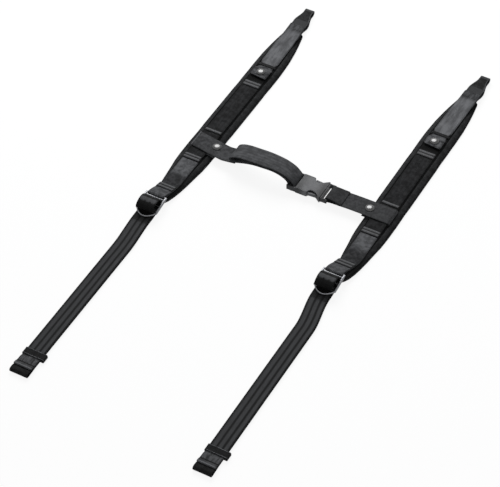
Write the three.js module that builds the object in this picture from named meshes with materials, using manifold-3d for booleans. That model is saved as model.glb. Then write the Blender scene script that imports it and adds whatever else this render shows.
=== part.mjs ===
import * as THREE from "three";
import { mergeVertices } from "three/addons/utils/BufferGeometryUtils.js";
import Module from "manifold-3d";

// A pair of padded shoulder straps lying side by side, tops toward +Y, joined by a cross strap
// with a side-release buckle. Millimetres, +Z up, X across the pair, Z = 0 is the floor.
// The origin is under the middle of the pair.

const wasm = await Module();
wasm.setup();

// The pair
const STRAP_SPACING = 352;
const RIGHT_STRAP_DROP = 14;
const RIGHT_STRAP_LET_OUT = 18;
// Both straps sway toward -X round the adjuster frames and come back below them
const LEFT_SWAY = 5;
const RIGHT_SWAY = 10;
const SWAY_TOP_UP = 49;
const SWAY_FULL_UP = 6;
const SWAY_HOLD_DOWN = 50;
const SWAY_END_DOWN = 103;
const LAYER_GAP = 0.3;
const BAND_WIDTH = 32;
const BAND_THICKNESS = 1.4;
const CUT_OVERRUN = 5;
const MITRE_SHARE = 0.5;

// Shoulder pad: a padded body with a flat sewn seat down its middle and a bound edge
const PAD_TOP_Y = 452;
const PAD_LENGTH = 508;
const PAD_HALF_WIDTH = 27.3;
const PAD_SEAT_Z = 10;
const PAD_DIP = 1.8;
const PAD_END_THICKNESS = 4.8;
const PAD_TIP_LIFT = 6.2;
const BINDING_THICKNESS = 1.4;
const BINDING_HEIGHT = 3.9;
const BINDING_FOOT = 0.45;

// Each station, as shares: its place along the pad, half width, rise of the top from the end's
// thickness to the seat, dip under the cross strap, lift of the underside, and fullness of the sides.
const PAD_STATION_SHARES = [
  [0, 0.5, -0.13, 0, 0, 1],
  [0.003, 0.57, -0.05, 0, 0, 1],
  [0.01, 0.61, 0, 0, 0, 1],
  [0.043, 0.715, 0, 0, 0, 1],
  [0.066, 0.78, 0.42, 0, 0, 1],
  [0.092, 0.845, 1, 0, 0, 1],
  [0.152, 0.955, 1, 0, 0, 1],
  [0.22, 1, 1, 0, 0, 1],
  [0.3, 1, 1, 0, 0, 1],
  [0.325, 0.99, 1, 0, 0, 0.9],
  [0.334, 0.985, 1, 0, 0, 0.86],
  [0.343, 0.99, 1, 0, 0, 0.9],
  [0.37, 1, 1, 0, 0, 1],
  [0.47, 1, 1, 0, 0, 1],
  [0.58, 1, 1, 0, 0, 1],
  [0.61, 0.985, 1, 0, 0, 0.87],
  [0.6155, 0.985, 1, 0, 0, 0.87],
  [0.6195, 0.985, 1, 1, 0, 1],
  [0.68, 1, 1, 1, 0, 1],
  [0.7425, 0.985, 1, 1, 0, 1],
  [0.7465, 0.98, 1, 0, 0, 0.87],
  [0.756, 0.975, 1, 0, 0, 0.87],
  [0.785, 0.945, 1, 0, 0, 1],
  [0.82, 0.865, 1, 0, 0, 1],
  [0.87, 0.765, 1, 0, 0.03, 1],
  [0.91, 0.67, 1, 0, 0.12, 0.95],
  [0.94, 0.585, 1, 0, 0.32, 0.95],
  [0.968, 0.475, 0.99, 0, 0.6, 1],
  [0.986, 0.35, 0.96, 0, 0.84, 1],
  [0.995, 0.24, 0.87, 0, 0.95, 1],
  [1, 0.13, 0.77, 0, 1, 1],
];
// Half of the pad's section, from the middle of the top to the middle of the underside.
const PAD_SECTION_SHARES = [
  [0, 1, 0],
  [0.59, 1, 0],
  [0.645, 0.9, 0],
  [0.7, 1, 1],
  [0.82, 0.95, 1],
  [0.91, 0.8, 1],
  [0.97, 0.58, 0.5],
  [1, 0.38, 0],
  [1, 0.18, 0],
  [0.97, 0.05, 0],
  [0.9, 0, 0],
  [0, 0, 0],
];

// Centre band, its sewn ribs and the grey panel under them, as places along the pad
const BAND_TOP_SHARE = 0.255906;
const BAND_TOP_Y = PAD_TOP_Y - PAD_LENGTH * BAND_TOP_SHARE;
const RIB_A_SHARE = 0.334646;
const RIB_B_SHARE = 0.610236;
const RIB_C_SHARE = 0.75689;
const RIB_D_SHARE = 0.926181;
const RIB_A_Y = PAD_TOP_Y - PAD_LENGTH * RIB_A_SHARE;
const RIB_B_Y = PAD_TOP_Y - PAD_LENGTH * RIB_B_SHARE;
const RIB_C_Y = PAD_TOP_Y - PAD_LENGTH * RIB_C_SHARE;
const RIB_D_Y = PAD_TOP_Y - PAD_LENGTH * RIB_D_SHARE;
const RIB_LENGTH = 8.6;
const RIB_SINGLE_LENGTH = 4.2;
const RIB_HEIGHT = 1.9;
const RIB_GROOVE = 0.9;
const RIB_SHOULDER_SHARE = 0.72;
const BAND_END_SHARE = 0.769685;
const BAND_END_Y = PAD_TOP_Y - PAD_LENGTH * BAND_END_SHARE;
const PANEL_THICKNESS = 1;

// Upper loop: narrow webbing sewn to the pad's top end, folded over for the upper bracket
const NECK_WIDTH = 29;
const NECK_FOLD_WIDTH = 17;
const NECK_NARROW_FROM = 26;
const NECK_NARROW_TO = 56;
const NECK_NARROW_STEP = 6;
const SPLAY = 6;
const SPLAY_POWER_SHARE = 1.3;
const NECK_THICKNESS = 1.4;
const NECK_SEAT_LENGTH = 18;
const NECK_REACH = 68;
const NECK_LOOP_HEIGHT = 10.6;
const NECK_DROP_START = 3;
const NECK_DROP_LENGTH = 20;
const NECK_SEAM_BACK = 4;

// Tongue: the microfibre end of the upper loop, held down by a sewn keeper band
const TONGUE_THICKNESS = 1.4;
const TONGUE_SEAM_WIDTH = 28;
const TONGUE_WAIST_WIDTH = 25.5;
const TONGUE_SEAM_Z = 9.9;
const TONGUE_SETTLE_DOWN = 48;
const TONGUE_SETTLE_Y = PAD_TOP_Y - TONGUE_SETTLE_DOWN;
const FLAP_HINGE_UP = 13;
const TONGUE_KEEPER_UP = 14;
const FLAP_HINGE_Y = BAND_TOP_Y + FLAP_HINGE_UP;
const TONGUE_KEEPER_Y = BAND_TOP_Y + TONGUE_KEEPER_UP;
const TONGUE_KEEPER_LENGTH = 6;
const TONGUE_KEEPER_HALF = 17;
const TONGUE_KEEPER_LEG = 2.2;
const TONGUE_KEEPER_THICKNESS = 1.2;
const FLAP_END_DOWN = 19;
const FLAP_END_Y = BAND_TOP_Y - FLAP_END_DOWN;
const FLAP_END_WIDTH = 34;
const FLAP_SNAP_DOWN = 7;
const FLAP_SNAP_Y = BAND_TOP_Y - FLAP_SNAP_DOWN;
const FLAP_RISE_LENGTH = 13.5;
const FLAP_RISE_SHARES = [
  [0.22, 0.05],
  [0.5, 0.36],
  [0.8, 0.85],
  [1, 1],
];

// Snap fasteners
const CAP_RADIUS = 8;
const CAP_HEIGHT = 3.2;
const CAP_EDGE = 1;
const CAP_ARC_SHARES = [
  [1, 0],
  [0.96, 0.3],
  [0.82, 0.62],
  [0.58, 0.86],
  [0.3, 0.97],
];
const SNAP_FLANGE_RADIUS = 5;
const SNAP_FLANGE_THICKNESS = 0.6;
const SNAP_BALL_RADIUS = 2;
const SNAP_BALL_HEIGHT = 1.3;
const SNAP_RING_RADIUS = 5;
const SNAP_RING_BORE = 2.6;
const SNAP_RING_HEIGHT = 1.2;
const SNAP_SEGMENTS = 20;

// Adjuster frame: a ladder buckle hung from a webbing loop at the pad's lower end
const ADJUSTER_BAR_UP = 9;
const ADJUSTER_BAR_Y = PAD_TOP_Y - PAD_LENGTH + ADJUSTER_BAR_UP;
const ADJUSTER_BAR_Z = 16.5;
const ADJUSTER_DROP = 8.2;
const ADJUSTER_REACH = 44;
const ADJUSTER_BAR_RADIUS = 1.4;
const ADJUSTER_BAR_CLEARANCE = 0.4;
const ADJUSTER_WEBBING_THICKNESS = 1.3;
const ADJUSTER_WEBBING_JOIN = 10;
const ADJUSTER_INNER_HALF = 17.2;
const ADJUSTER_RAIL_WIDTH = 2.6;
const ADJUSTER_RAIL_HEIGHT = 4.4;
const ADJUSTER_RAIL_OVERHANG = 2.4;
const ADJUSTER_LIP_SHARE = 0.111364;
const ADJUSTER_LIP_AT = ADJUSTER_REACH * ADJUSTER_LIP_SHARE;
const ADJUSTER_LIP_LENGTH = 1.5;
const ADJUSTER_LIP_HEIGHT = 2.4;
const ADJUSTER_CENTRE_SHARE = 0.431818;
const ADJUSTER_CENTRE_AT = ADJUSTER_REACH * ADJUSTER_CENTRE_SHARE;
const ADJUSTER_CENTRE_RADIUS = 1.5;
const ADJUSTER_BOW = 12;
const ADJUSTER_RAIL_SHARE = 0.818182;
const ADJUSTER_RAIL_REACH = ADJUSTER_REACH * ADJUSTER_RAIL_SHARE;
const RAIL_END_SHARE = 0.6;
const RAIL_STRAIGHT_SHARE = 0.94;

// Lower strap: load strap below, tail on top of it, folded end loop and sliding keeper
const LOWER_WIDTH = 33;
const LOWER_THICKNESS = 1.8;
const LOAD_BASE_Z = 1.5;
const LOAD_FLAT_LEAD = 11.83;
const LOWER_LENGTH = 409;
const LOAD_END_Y = ADJUSTER_BAR_Y - LOWER_LENGTH;
const ROLL_HEIGHT = 20;
// Along the frame from its hinge bar, and above its plane
const LOAD_RISE_SHARES = [
  [1.0455, -0.27],
  [0.8182, -0.33],
  [0.5909, -0.285],
  [0.4318, -0.1675],
  [0.3227, -0.0775],
  [0.2705, 0.05],
];
const TAIL_ROLL_SHARES = [
  [0.267, 0.069],
  [0.262, 0.2],
  [0.278, 0.36],
  [0.325, 0.52],
  [0.4, 0.66],
  [0.5, 0.765],
  [0.615, 0.815],
  [0.73, 0.8],
  [0.835, 0.72],
  [0.9, 0.585],
  [0.915, 0.44],
  [0.89, 0.32],
  [0.8386, 0.225],
  [0.7636, 0.125],
  [0.7409, -0.015],
  [0.7614, -0.155],
  [0.8318, -0.2175],
  [0.9318, -0.1925],
  [1.0682, -0.155],
];
const TAIL_PAST_LOAD = 18;
const TAIL_LIFT_UP = 7.5;
const TAIL_END_Y = LOAD_END_Y - TAIL_PAST_LOAD;
const TAIL_LIFT_Y = LOAD_END_Y + TAIL_LIFT_UP;
const TAIL_LIFT = 4.4;
const TAIL_LIFT_SHARES = [
  [0, 0],
  [0.3, 0.43],
  [0.6, 0.46],
  [1, 1],
];
const HEM_LENGTH = 6;
const HEM_THICKNESS = 1;
const END_LOOP_REACH = 31.7;
const END_LOOP_HEIGHT = 8.6;
const END_LOOP_SEWN = 7.7;
const END_LOOP_LEVEL = 4;
const KEEPER_UP = 15;
const KEEPER_Y = LOAD_END_Y + KEEPER_UP;
const KEEPER_LENGTH = 13;
const KEEPER_WALL = 1.2;
const KEEPER_SIDE_CLEARANCE = 0.5;
const KEEPER_OVERHANG = 4;
const KEEPER_ROLL = 0.7;

// Cross strap, its webbing pinched where it goes through the buckle
const CROSS_SHARE = 0.690354;
const CROSS_Y = PAD_TOP_Y - PAD_LENGTH * CROSS_SHARE;
const CROSS_WIDTH = 37;
const PINCHED_WIDTH = 33.4;
const TAB_THICKNESS = 1.4;
const TAB_FOLD_OUT = 0.8;
const TAB_LEVEL_IN = 38;
const TAB_LEFT_END_IN = 75;
const TAB_LEVEL_X = STRAP_SPACING / 2 - TAB_LEVEL_IN;
const TAB_LEFT_END_X = TAB_LEFT_END_IN - STRAP_SPACING / 2;
const TAB_RIGHT_END_X = 87;
const TAB_LEFT_RISE = 4.8;
const TAB_RIGHT_FALL = 3.2;
const CROSS_SNAP_IN = 26;
const LEFT_SNAP_UP = 6.5;
const LEFT_SKEW = 10;
const LEFT_SKEW_IN = 48;
const RETURN_TAB_IN = 33;
const LOOP_THICKNESS = 1.6;
const LOOP_PINCH_FROM_X = -48;
const LOOP_PINCH_TO_X = -7;
const FOLD_PINCH_FROM_X = 101;
const FOLD_PINCH_TO_X = 83;

// Rise and fall of the tabs from their level part to their ends
const TAB_LEFT_SHARES = [
  [0, 0],
  [0.2, 0.04],
  [0.4, 0.22],
  [0.7, 0.58],
  [1, 1],
];
const TAB_RIGHT_SHARES = [
  [0, 0],
  [0.4, 0.12],
  [0.67, 0.33],
  [1, 1],
];
// The arched loop: along from its far end to the socket's bar, and up from the bar to the arch
const LOOP_PAST_TAB = 11.5;
const LOOP_FAR_X = TAB_LEFT_END_X - LOOP_PAST_TAB;
const LOOP_TOP_Z = 38;
const LOOP_ARCH_SHARES = [
  [1.036, 0.16],
  [1.053, 0.3],
  [1.03, 0.45],
  [0.995, 0.6],
  [0.945, 0.74],
  [0.875, 0.86],
  [0.79, 0.94],
  [0.67, 0.99],
  [0.53, 0.995],
  [0.37, 0.955],
  [0.22, 0.915],
  [0.135, 0.85],
  [0.07, 0.745],
  [0.018, 0.61],
  [0, 0.46],
  [0.024, 0.325],
  [0.075, 0.335],
  [0.15, 0.43],
  [0.27, 0.6],
  [0.4, 0.73],
  [0.54, 0.79],
  [0.7, 0.795],
  [0.8, 0.72],
  [0.885, 0.575],
  [0.95, 0.39],
  [0.973, 0.2],
];
// The fold: along from the plug's bar to its sewn end, and up from the bar to the fold's top
const FOLD_SEWN_X = 104;
const FOLD_TOP_Z = 17;
const FOLD_LEAD_SHARE = 0.75;
const FOLD_RISE_SHARES = [
  [-0.08, 0.58],
  [0, 0.9],
  [0.16, 1],
  [0.4, 0.92],
  [0.7, 0.72],
  [1, 0.58],
];

// Side-release buckle, its length along X
const BUCKLE_LEFT_X = 0.2;
const BUCKLE_LOW_Z = 5;
const BUCKLE_WIDTH = 38;
const BUCKLE_MOUTH_WIDTH = 42;
const BUCKLE_HEIGHT = 12;
const SOCKET_BAR_X = 4.4;
const SOCKET_BAR_RADIUS = 1.8;
const SOCKET_RAIL_WIDTH = 2.1;
const SOCKET_RAIL_LOW = 1;
const SOCKET_RAIL_HIGH = 10.8;
const SOCKET_BODY_X = 17.2;
const SOCKET_MOUTH_X = 64.4;
const CAVITY_START_X = 33.4;
const CAVITY_HALF = 17.4;
const CAVITY_LOW = 2.4;
const WAIST_HALF = 11;
const WAIST_AT_SHARE = 0.6;
// Half width between the waist and the body, along the body from its slot to its mouth
const SOCKET_OUTLINE_SHARES = [
  [0, 1],
  [0.407, 1],
  [0.449, 0.904],
  [0.47, 0.696],
  [0.496, 0.304],
  [0.544, 0.07],
  [0.608, 0],
  [0.682, 0.07],
  [0.767, 0.261],
  [0.852, 0.539],
  [0.915, 0.783],
  [0.958, 0.939],
  [1, 1],
];
const PLUG_FLANGE_THICKNESS = 2.6;
const PLUG_FLANGE_LOW = 1.2;
const PLUG_WIDTH = 39;
const PLUG_BAR_X = 75.4;
const PLUG_BAR_RADIUS = 1.65;
const PLUG_GUIDE_HALF = 4;
const PLUG_GUIDE_LENGTH = 26;
const PLUG_GUIDE_CLEARANCE = 1;
const ARM_ROOT_GAP = 0.4;
const ARM_LENGTH = 24.3;
const ARM_WIDTH = 3;
const ARM_ROOT_HALF = 17;
const ARM_TIP_BULGE = 1.1;
const ARM_HEIGHT_CLEARANCE = 0.6;
const ARM_BULGE_SHARES = [
  [0, 0],
  [0.4, 0],
  [0.58, 0.22],
  [0.75, 0.55],
  [0.9, 0.95],
  [1, 1],
];

const fabric = (name) => ({ name, roughness: 0.9, metalness: 0 });
const LOOKS = {
  padFabric: { ...fabric("pad_fabric"), color: 0x1d1e20 },
  binding: { ...fabric("binding_tape"), color: 0x17181a },
  satin: { ...fabric("satin_band"), color: 0x202124, roughness: 0.6 },
  rib: { ...fabric("sewn_rib"), color: 0x26282b, roughness: 0.7 },
  microfibre: { ...fabric("microfibre"), color: 0x646668 },
  darkMicrofibre: { ...fabric("dark_microfibre"), color: 0x2d2e30 },
  webbing: { ...fabric("grey_webbing"), color: 0x5a5c5e },
  blackWebbing: { ...fabric("black_webbing"), color: 0x1b1c1e, roughness: 0.75 },
  strap: { ...fabric("strap_webbing"), color: 0x3a3b3d, roughness: 0.7 },
  cap: { name: "black_cap", color: 0x0b0b0c, roughness: 0.15, metalness: 0 },
  steel: { name: "steel", color: 0xb4b6b8, roughness: 0.3, metalness: 1 },
  frame: { name: "frame_metal", color: 0x9c9fa0, roughness: 0.35, metalness: 1 },
  plastic: { name: "grey_plastic", color: 0x737577, roughness: 0.45, metalness: 0 },
};

const material = (look) => new THREE.MeshStandardMaterial(look);
const group = new THREE.Group();

// Turns a closed body's faces outward
function outward(geometry) {
  const at = geometry.attributes.position;
  const order = geometry.index ? Array.from(geometry.index.array) : [...Array(at.count).keys()];
  const corner = (i) => new THREE.Vector3().fromBufferAttribute(at, order[i]);
  let volume = 0;
  for (let i = 0; i < order.length; i += 3) {
    volume += corner(i).dot(corner(i + 1).cross(corner(i + 2)));
  }
  if (volume < 0) {
    order.reverse();
  }
  geometry.setIndex(order);
  return geometry;
}

function place(parent, name, geometry, look) {
  const mesh = new THREE.Mesh(outward(geometry), material(look));
  mesh.name = name;
  parent.add(mesh);
  return mesh;
}

// Solids and their joins and cuts
function solidOf(geometry) {
  const bare = outward(geometry.clone());
  bare.deleteAttribute("normal");
  bare.deleteAttribute("uv");
  const merged = mergeVertices(bare);
  return new wasm.Manifold(
    new wasm.Mesh({
      numProp: 3,
      vertProperties: new Float32Array(merged.attributes.position.array),
      triVerts: new Uint32Array(merged.index.array),
    })
  );
}

function geometryOf(solid) {
  const mesh = solid.getMesh();
  const geometry = new THREE.BufferGeometry();
  geometry.setAttribute("position", new THREE.BufferAttribute(mesh.vertProperties, mesh.numProp));
  geometry.setIndex(new THREE.BufferAttribute(mesh.triVerts, 1));
  return geometry;
}

const joined = (...all) => geometryOf(all.map(solidOf).reduce((a, b) => a.add(b)));
const cut = (from, ...all) => geometryOf(all.map(solidOf).reduce((a, b) => a.subtract(b), solidOf(from)));
const shared = (a, b) => geometryOf(solidOf(a).intersect(solidOf(b)));

const shapeOf = (points) => new THREE.Shape(points.map(([u, v]) => new THREE.Vector2(u, v)));
const prism = (shape, depth) => new THREE.ExtrudeGeometry(shape, { depth, bevelEnabled: false });

// A shape drawn in Y and Z, run along X
function alongX(shape, from, to) {
  const turn = new THREE.Matrix4().set(0, 0, 1, from, 1, 0, 0, 0, 0, 1, 0, 0, 0, 0, 0, 1);
  return prism(shape, to - from).applyMatrix4(turn);
}

// A shape drawn in X and Z, run along Y
function alongY(shape, from, to) {
  const turn = new THREE.Matrix4().set(1, 0, 0, 0, 0, 0, -1, to, 0, 1, 0, 0, 0, 0, 0, 1);
  return prism(shape, to - from).applyMatrix4(turn);
}

// A shape drawn in X and Y, run along Z
const alongZ = (shape, from, to) => prism(shape, to - from).translate(0, 0, from);

function block(x0, x1, y0, y1, z0, z1) {
  const box = new THREE.BoxGeometry(x1 - x0, y1 - y0, z1 - z0);
  return box.translate((x0 + x1) / 2, (y0 + y1) / 2, (z0 + z1) / 2);
}

// The side view of a webbing: its middle line given the webbing's thickness
function webbingSides(points, thickness) {
  const line = points.map(([u, v]) => new THREE.Vector2(u, v));
  const side = (sign) =>
    line.map((p, i) => {
      const before = line[Math.max(i - 1, 0)];
      const after = line[Math.min(i + 1, line.length - 1)];
      const there = p.clone().sub(before).normalize();
      const on = after.clone().sub(p).normalize();
      const along = there.clone().add(on).normalize();
      const lean = Math.max(along.dot(i ? there : on), MITRE_SHARE);
      const out = (sign * thickness) / 2 / lean;
      return new THREE.Vector2(p.x - along.y * out, p.y + along.x * out);
    });
  return [side(-1), side(1)];
}

function webbing(points, thickness) {
  const [under, over] = webbingSides(points, thickness);
  return new THREE.Shape([...under, ...over.reverse()]);
}

// A length of webbing cut straight across at each of its points, so that it can bend sideways
function webbingBand(points, thickness, half) {
  const [under, over] = webbingSides(points, thickness);
  const rings = under.map((p, i) => {
    const q = over[i];
    return [[-half, p.x, p.y], [half, p.x, p.y], [half, q.x, q.y], [-half, q.x, q.y]];
  });
  return outward(loft(rings));
}

// The side view of a closed ring of webbing
function webbingRing(points, thickness, steps) {
  const knots = points.map(([u, v]) => new THREE.Vector3(u, v, 0));
  const line = new THREE.CatmullRomCurve3(knots, true).getPoints(steps).slice(0, -1);
  const side = (sign) =>
    line.map((p, i) => {
      const before = line[(i + line.length - 1) % line.length];
      const after = line[(i + 1) % line.length];
      const along = after.clone().sub(before).normalize();
      const out = (sign * thickness) / 2;
      return new THREE.Vector2(p.x - along.y * out, p.y + along.x * out);
    });
  const sides = [side(-1), side(1)];
  const area = (loop) => Math.abs(THREE.ShapeUtils.area(loop));
  const [outer, inner] = area(sides[0]) > area(sides[1]) ? sides : sides.reverse();
  const shape = new THREE.Shape(outer);
  shape.holes.push(new THREE.Path(inner));
  return shape;
}

const ARC_STEPS = 8;

// Points on an arc, from one angle to another, counted from the first axis toward the second
function arc(u, v, radius, from, to, steps = ARC_STEPS) {
  return Array.from({ length: steps + 1 }, (_, i) => {
    const angle = from + ((to - from) * i) / steps;
    return [u + radius * Math.cos(angle), v + radius * Math.sin(angle)];
  });
}

// A smooth line through points
function smooth(points, steps) {
  const knots = points.map(([u, v]) => new THREE.Vector2(u, v));
  return new THREE.SplineCurve(knots).getPoints(steps).map((p) => [p.x, p.y]);
}

// A closed body through rings of points, or a closed loop of rings
function loft(rings, loop = false) {
  const count = rings[0].length;
  const positions = rings.flat(2);
  const index = [];
  const last = loop ? rings.length : rings.length - 1;
  for (let i = 0; i < last; i += 1) {
    const here = i * count;
    const next = ((i + 1) % rings.length) * count;
    for (let j = 0; j < count; j += 1) {
      const k = (j + 1) % count;
      index.push(here + j, here + k, next + k, here + j, next + k, next + j);
    }
  }
  if (!loop) {
    for (let j = 1; j < count - 1; j += 1) {
      const far = last * count;
      index.push(0, j + 1, j, far, far + j, far + j + 1);
    }
  }
  const geometry = new THREE.BufferGeometry();
  geometry.setAttribute("position", new THREE.Float32BufferAttribute(positions, 3));
  geometry.setIndex(index);
  return geometry;
}

// The pad's shape at each station
const padStations = PAD_STATION_SHARES.map(([along, wide, rise, dip, lift, full]) => ({
  y: PAD_TOP_Y - PAD_LENGTH * along,
  half: PAD_HALF_WIDTH * wide,
  low: PAD_TIP_LIFT * lift,
  high: PAD_END_THICKNESS + (PAD_SEAT_Z - PAD_END_THICKNESS) * rise - PAD_DIP * dip,
  full,
}));

function padBody() {
  const rings = padStations.map((s) => {
    const half = PAD_SECTION_SHARES.map(([out, up, lobe]) => {
      const rise = up * (1 - lobe * (1 - s.full));
      return [s.half * out, s.y, s.low + (s.high - s.low) * rise];
    });
    const under = half.length - 1;
    const mirrored = half.slice(1, under).reverse().map(([x, y, z]) => [-x, y, z]);
    return [half[under], ...mirrored, ...half.slice(0, under)];
  });
  return loft(rings);
}

function padBinding() {
  const right = padStations.map((s) => ({ x: s.half, ...s }));
  const left = padStations.map((s) => ({ x: -s.half, ...s })).reverse();
  const outline = [...right, ...left];
  const rings = outline.map((p, i) => {
    const before = outline[(i + outline.length - 1) % outline.length];
    const after = outline[(i + 1) % outline.length];
    const along = new THREE.Vector2(after.x - before.x, after.y - before.y).normalize();
    const at = (out, z) => [p.x - along.y * out, p.y + along.x * out, z];
    const low = p.low + BINDING_FOOT;
    const high = Math.min(low + BINDING_HEIGHT, p.high + LAYER_GAP);
    const inner = LAYER_GAP;
    const outer = LAYER_GAP + BINDING_THICKNESS;
    return [at(inner, low), at(inner, high), at(outer, high), at(outer, low)];
  });
  return loft(rings, true);
}

// Sewn rib: one or two rounded bumps across the band
function rib(y, length, base, bumps) {
  const from = y - length / 2;
  const pitch = length / bumps;
  const valley = base + RIB_HEIGHT - RIB_GROOVE;
  const points = [[from, base], [from + length, base]];
  for (let i = bumps - 1; i >= 0; i -= 1) {
    const start = from + pitch * i;
    points.push([start + pitch, valley], [start + pitch * RIB_SHOULDER_SHARE, base + RIB_HEIGHT]);
    points.push([start + pitch * (1 - RIB_SHOULDER_SHARE), base + RIB_HEIGHT]);
  }
  points.push([from, valley]);
  return alongX(shapeOf(points), -BAND_WIDTH / 2, BAND_WIDTH / 2);
}

const seatTop = PAD_SEAT_Z + LAYER_GAP;
const bandTop = seatTop + BAND_THICKNESS;
const half = BAND_WIDTH / 2;

// Snap pieces turned about Z, standing on the height given
function turned(profile, x, y) {
  const points = profile.map(([r, z]) => new THREE.Vector2(r, z));
  const lathe = new THREE.LatheGeometry(points, SNAP_SEGMENTS);
  lathe.rotateX(Math.PI / 2);
  return lathe.translate(x, y, 0);
}

function snapCap(x, y, z) {
  const crown = CAP_HEIGHT - CAP_EDGE;
  const arc = CAP_ARC_SHARES.map(([out, up]) => [CAP_RADIUS * out, z + CAP_EDGE + crown * up]);
  return turned([[0, z], [CAP_RADIUS, z], ...arc, [0, z + CAP_HEIGHT]], x, y);
}

function snapStud(x, y, z) {
  const flange = z + SNAP_FLANGE_THICKNESS;
  const top = flange + SNAP_BALL_HEIGHT;
  const points = [[0, z], [SNAP_FLANGE_RADIUS, z], [SNAP_FLANGE_RADIUS, flange], [SNAP_BALL_RADIUS, flange]];
  return turned([...points, [SNAP_BALL_RADIUS, top], [0, top]], x, y);
}

function snapRing(x, y, z) {
  const top = z + SNAP_RING_HEIGHT;
  const ring = [[SNAP_RING_BORE, z], [SNAP_RING_RADIUS, z], [SNAP_RING_RADIUS, top], [SNAP_RING_BORE, top]];
  return turned([...ring, ring[0]], x, y);
}

// Tongue and flap: side views kept to their plan outlines
function tapered(profile, outline) {
  const ends = new THREE.Box2().setFromPoints(profile.getPoints());
  const wide = Math.max(...outline.map(([x]) => Math.abs(x)));
  return shared(
    alongX(profile, -wide - CUT_OVERRUN, wide + CUT_OVERRUN),
    alongZ(shapeOf(outline), ends.min.y - CUT_OVERRUN, ends.max.y + CUT_OVERRUN)
  );
}

const bothSides = (stations) => {
  const left = [...stations].reverse().map(([x, y]) => [-x, y]);
  return [...stations, ...left];
};

const tongueMid = seatTop + TONGUE_THICKNESS / 2;
const tongueTop = seatTop + TONGUE_THICKNESS;
const seamY = PAD_TOP_Y - NECK_SEAM_BACK;
const neckEndY = PAD_TOP_Y + NECK_REACH;

// Moves a piece's upper part sideways, away from the other strap
function splayed(geometry, inner) {
  const from = BAND_TOP_Y;
  const at = geometry.attributes.position;
  for (let i = 0; i < at.count; i += 1) {
    const share = Math.max((at.getY(i) - from) / (neckEndY - from), 0);
    at.setX(i, at.getX(i) - inner * SPLAY * share ** SPLAY_POWER_SHARE);
  }
  return geometry;
}

// Moves a piece along X by its strap's sway
function swayed(geometry, sway) {
  const ease = (y, from, to) => THREE.MathUtils.smoothstep(from - y, 0, from - to);
  const at = geometry.attributes.position;
  for (let i = 0; i < at.count; i += 1) {
    const y = at.getY(i);
    const up = y - ADJUSTER_BAR_Y;
    const share = ease(up, SWAY_TOP_UP, SWAY_FULL_UP) - ease(up, -SWAY_HOLD_DOWN, -SWAY_END_DOWN);
    at.setX(i, at.getX(i) - sway * share);
  }
  return geometry;
}

function topLoop() {
  const low = PAD_END_THICKNESS + LAYER_GAP + NECK_THICKNESS / 2;
  const floor = NECK_THICKNESS / 2;
  const radius = (NECK_LOOP_HEIGHT - NECK_THICKNESS) / 2;
  const foldY = neckEndY - NECK_THICKNESS / 2 - radius;
  const dropY = PAD_TOP_Y + NECK_DROP_START;
  const points = [
    [PAD_TOP_Y - NECK_SEAT_LENGTH, low],
    [dropY, low],
    [dropY + NECK_DROP_LENGTH, floor],
    [PAD_TOP_Y + NECK_NARROW_FROM + NECK_NARROW_STEP, floor],
    [PAD_TOP_Y + (NECK_NARROW_FROM + NECK_NARROW_TO) / 2, floor],
    [PAD_TOP_Y + NECK_NARROW_TO, floor],
    ...arc(foldY, floor + radius, radius, -Math.PI / 2, Math.PI / 2),
    [PAD_TOP_Y + NECK_NARROW_TO, NECK_LOOP_HEIGHT - floor],
    [PAD_TOP_Y + (NECK_NARROW_FROM + NECK_NARROW_TO) / 2, NECK_LOOP_HEIGHT - floor],
    [PAD_TOP_Y + NECK_NARROW_FROM + NECK_NARROW_STEP, NECK_LOOP_HEIGHT - floor],
    [seamY + LAYER_GAP, TONGUE_SEAM_Z],
  ];
  const loop = alongX(webbing(points, NECK_THICKNESS), -NECK_WIDTH / 2, NECK_WIDTH / 2);
  const at = loop.attributes.position;
  for (let i = 0; i < at.count; i += 1) {
    const along = (at.getY(i) - PAD_TOP_Y - NECK_NARROW_FROM) / (NECK_NARROW_TO - NECK_NARROW_FROM);
    const share = THREE.MathUtils.smoothstep(along, 0, 1);
    at.setX(i, at.getX(i) * (1 + (NECK_FOLD_WIDTH / NECK_WIDTH - 1) * share));
  }
  return loop;
}

function tongue() {
  const points = [
    [seamY, TONGUE_SEAM_Z],
    [(seamY + TONGUE_SETTLE_Y) / 2, tongueMid],
    [TONGUE_SETTLE_Y, tongueMid],
    [FLAP_HINGE_Y + LAYER_GAP / 2, tongueMid],
  ];
  const outline = bothSides([
    [TONGUE_WAIST_WIDTH / 2, FLAP_HINGE_Y - CUT_OVERRUN],
    [TONGUE_WAIST_WIDTH / 2, TONGUE_KEEPER_Y + TONGUE_KEEPER_LENGTH],
    [TONGUE_SEAM_WIDTH / 2, TONGUE_SETTLE_Y],
    [TONGUE_SEAM_WIDTH / 2, seamY + CUT_OVERRUN],
  ]);
  return tapered(webbing(points, TONGUE_THICKNESS), outline);
}

function tongueKeeper() {
  const low = tongueTop + LAYER_GAP;
  const high = low + TONGUE_KEEPER_THICKNESS;
  const inner = TONGUE_KEEPER_HALF - TONGUE_KEEPER_LEG;
  const points = [[-TONGUE_KEEPER_HALF, seatTop], [-inner, seatTop], [-inner, low], [inner, low]];
  points.push([inner, seatTop], [TONGUE_KEEPER_HALF, seatTop]);
  points.push([TONGUE_KEEPER_HALF, high], [-TONGUE_KEEPER_HALF, high]);
  return alongY(shapeOf(points), TONGUE_KEEPER_Y, TONGUE_KEEPER_Y + TONGUE_KEEPER_LENGTH);
}

const studZ = bandTop + LAYER_GAP;
const ringZ = studZ + SNAP_FLANGE_THICKNESS + LAYER_GAP;
const flapLow = ringZ + SNAP_RING_HEIGHT + LAYER_GAP;
const flapMid = flapLow + TONGUE_THICKNESS / 2;

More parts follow.
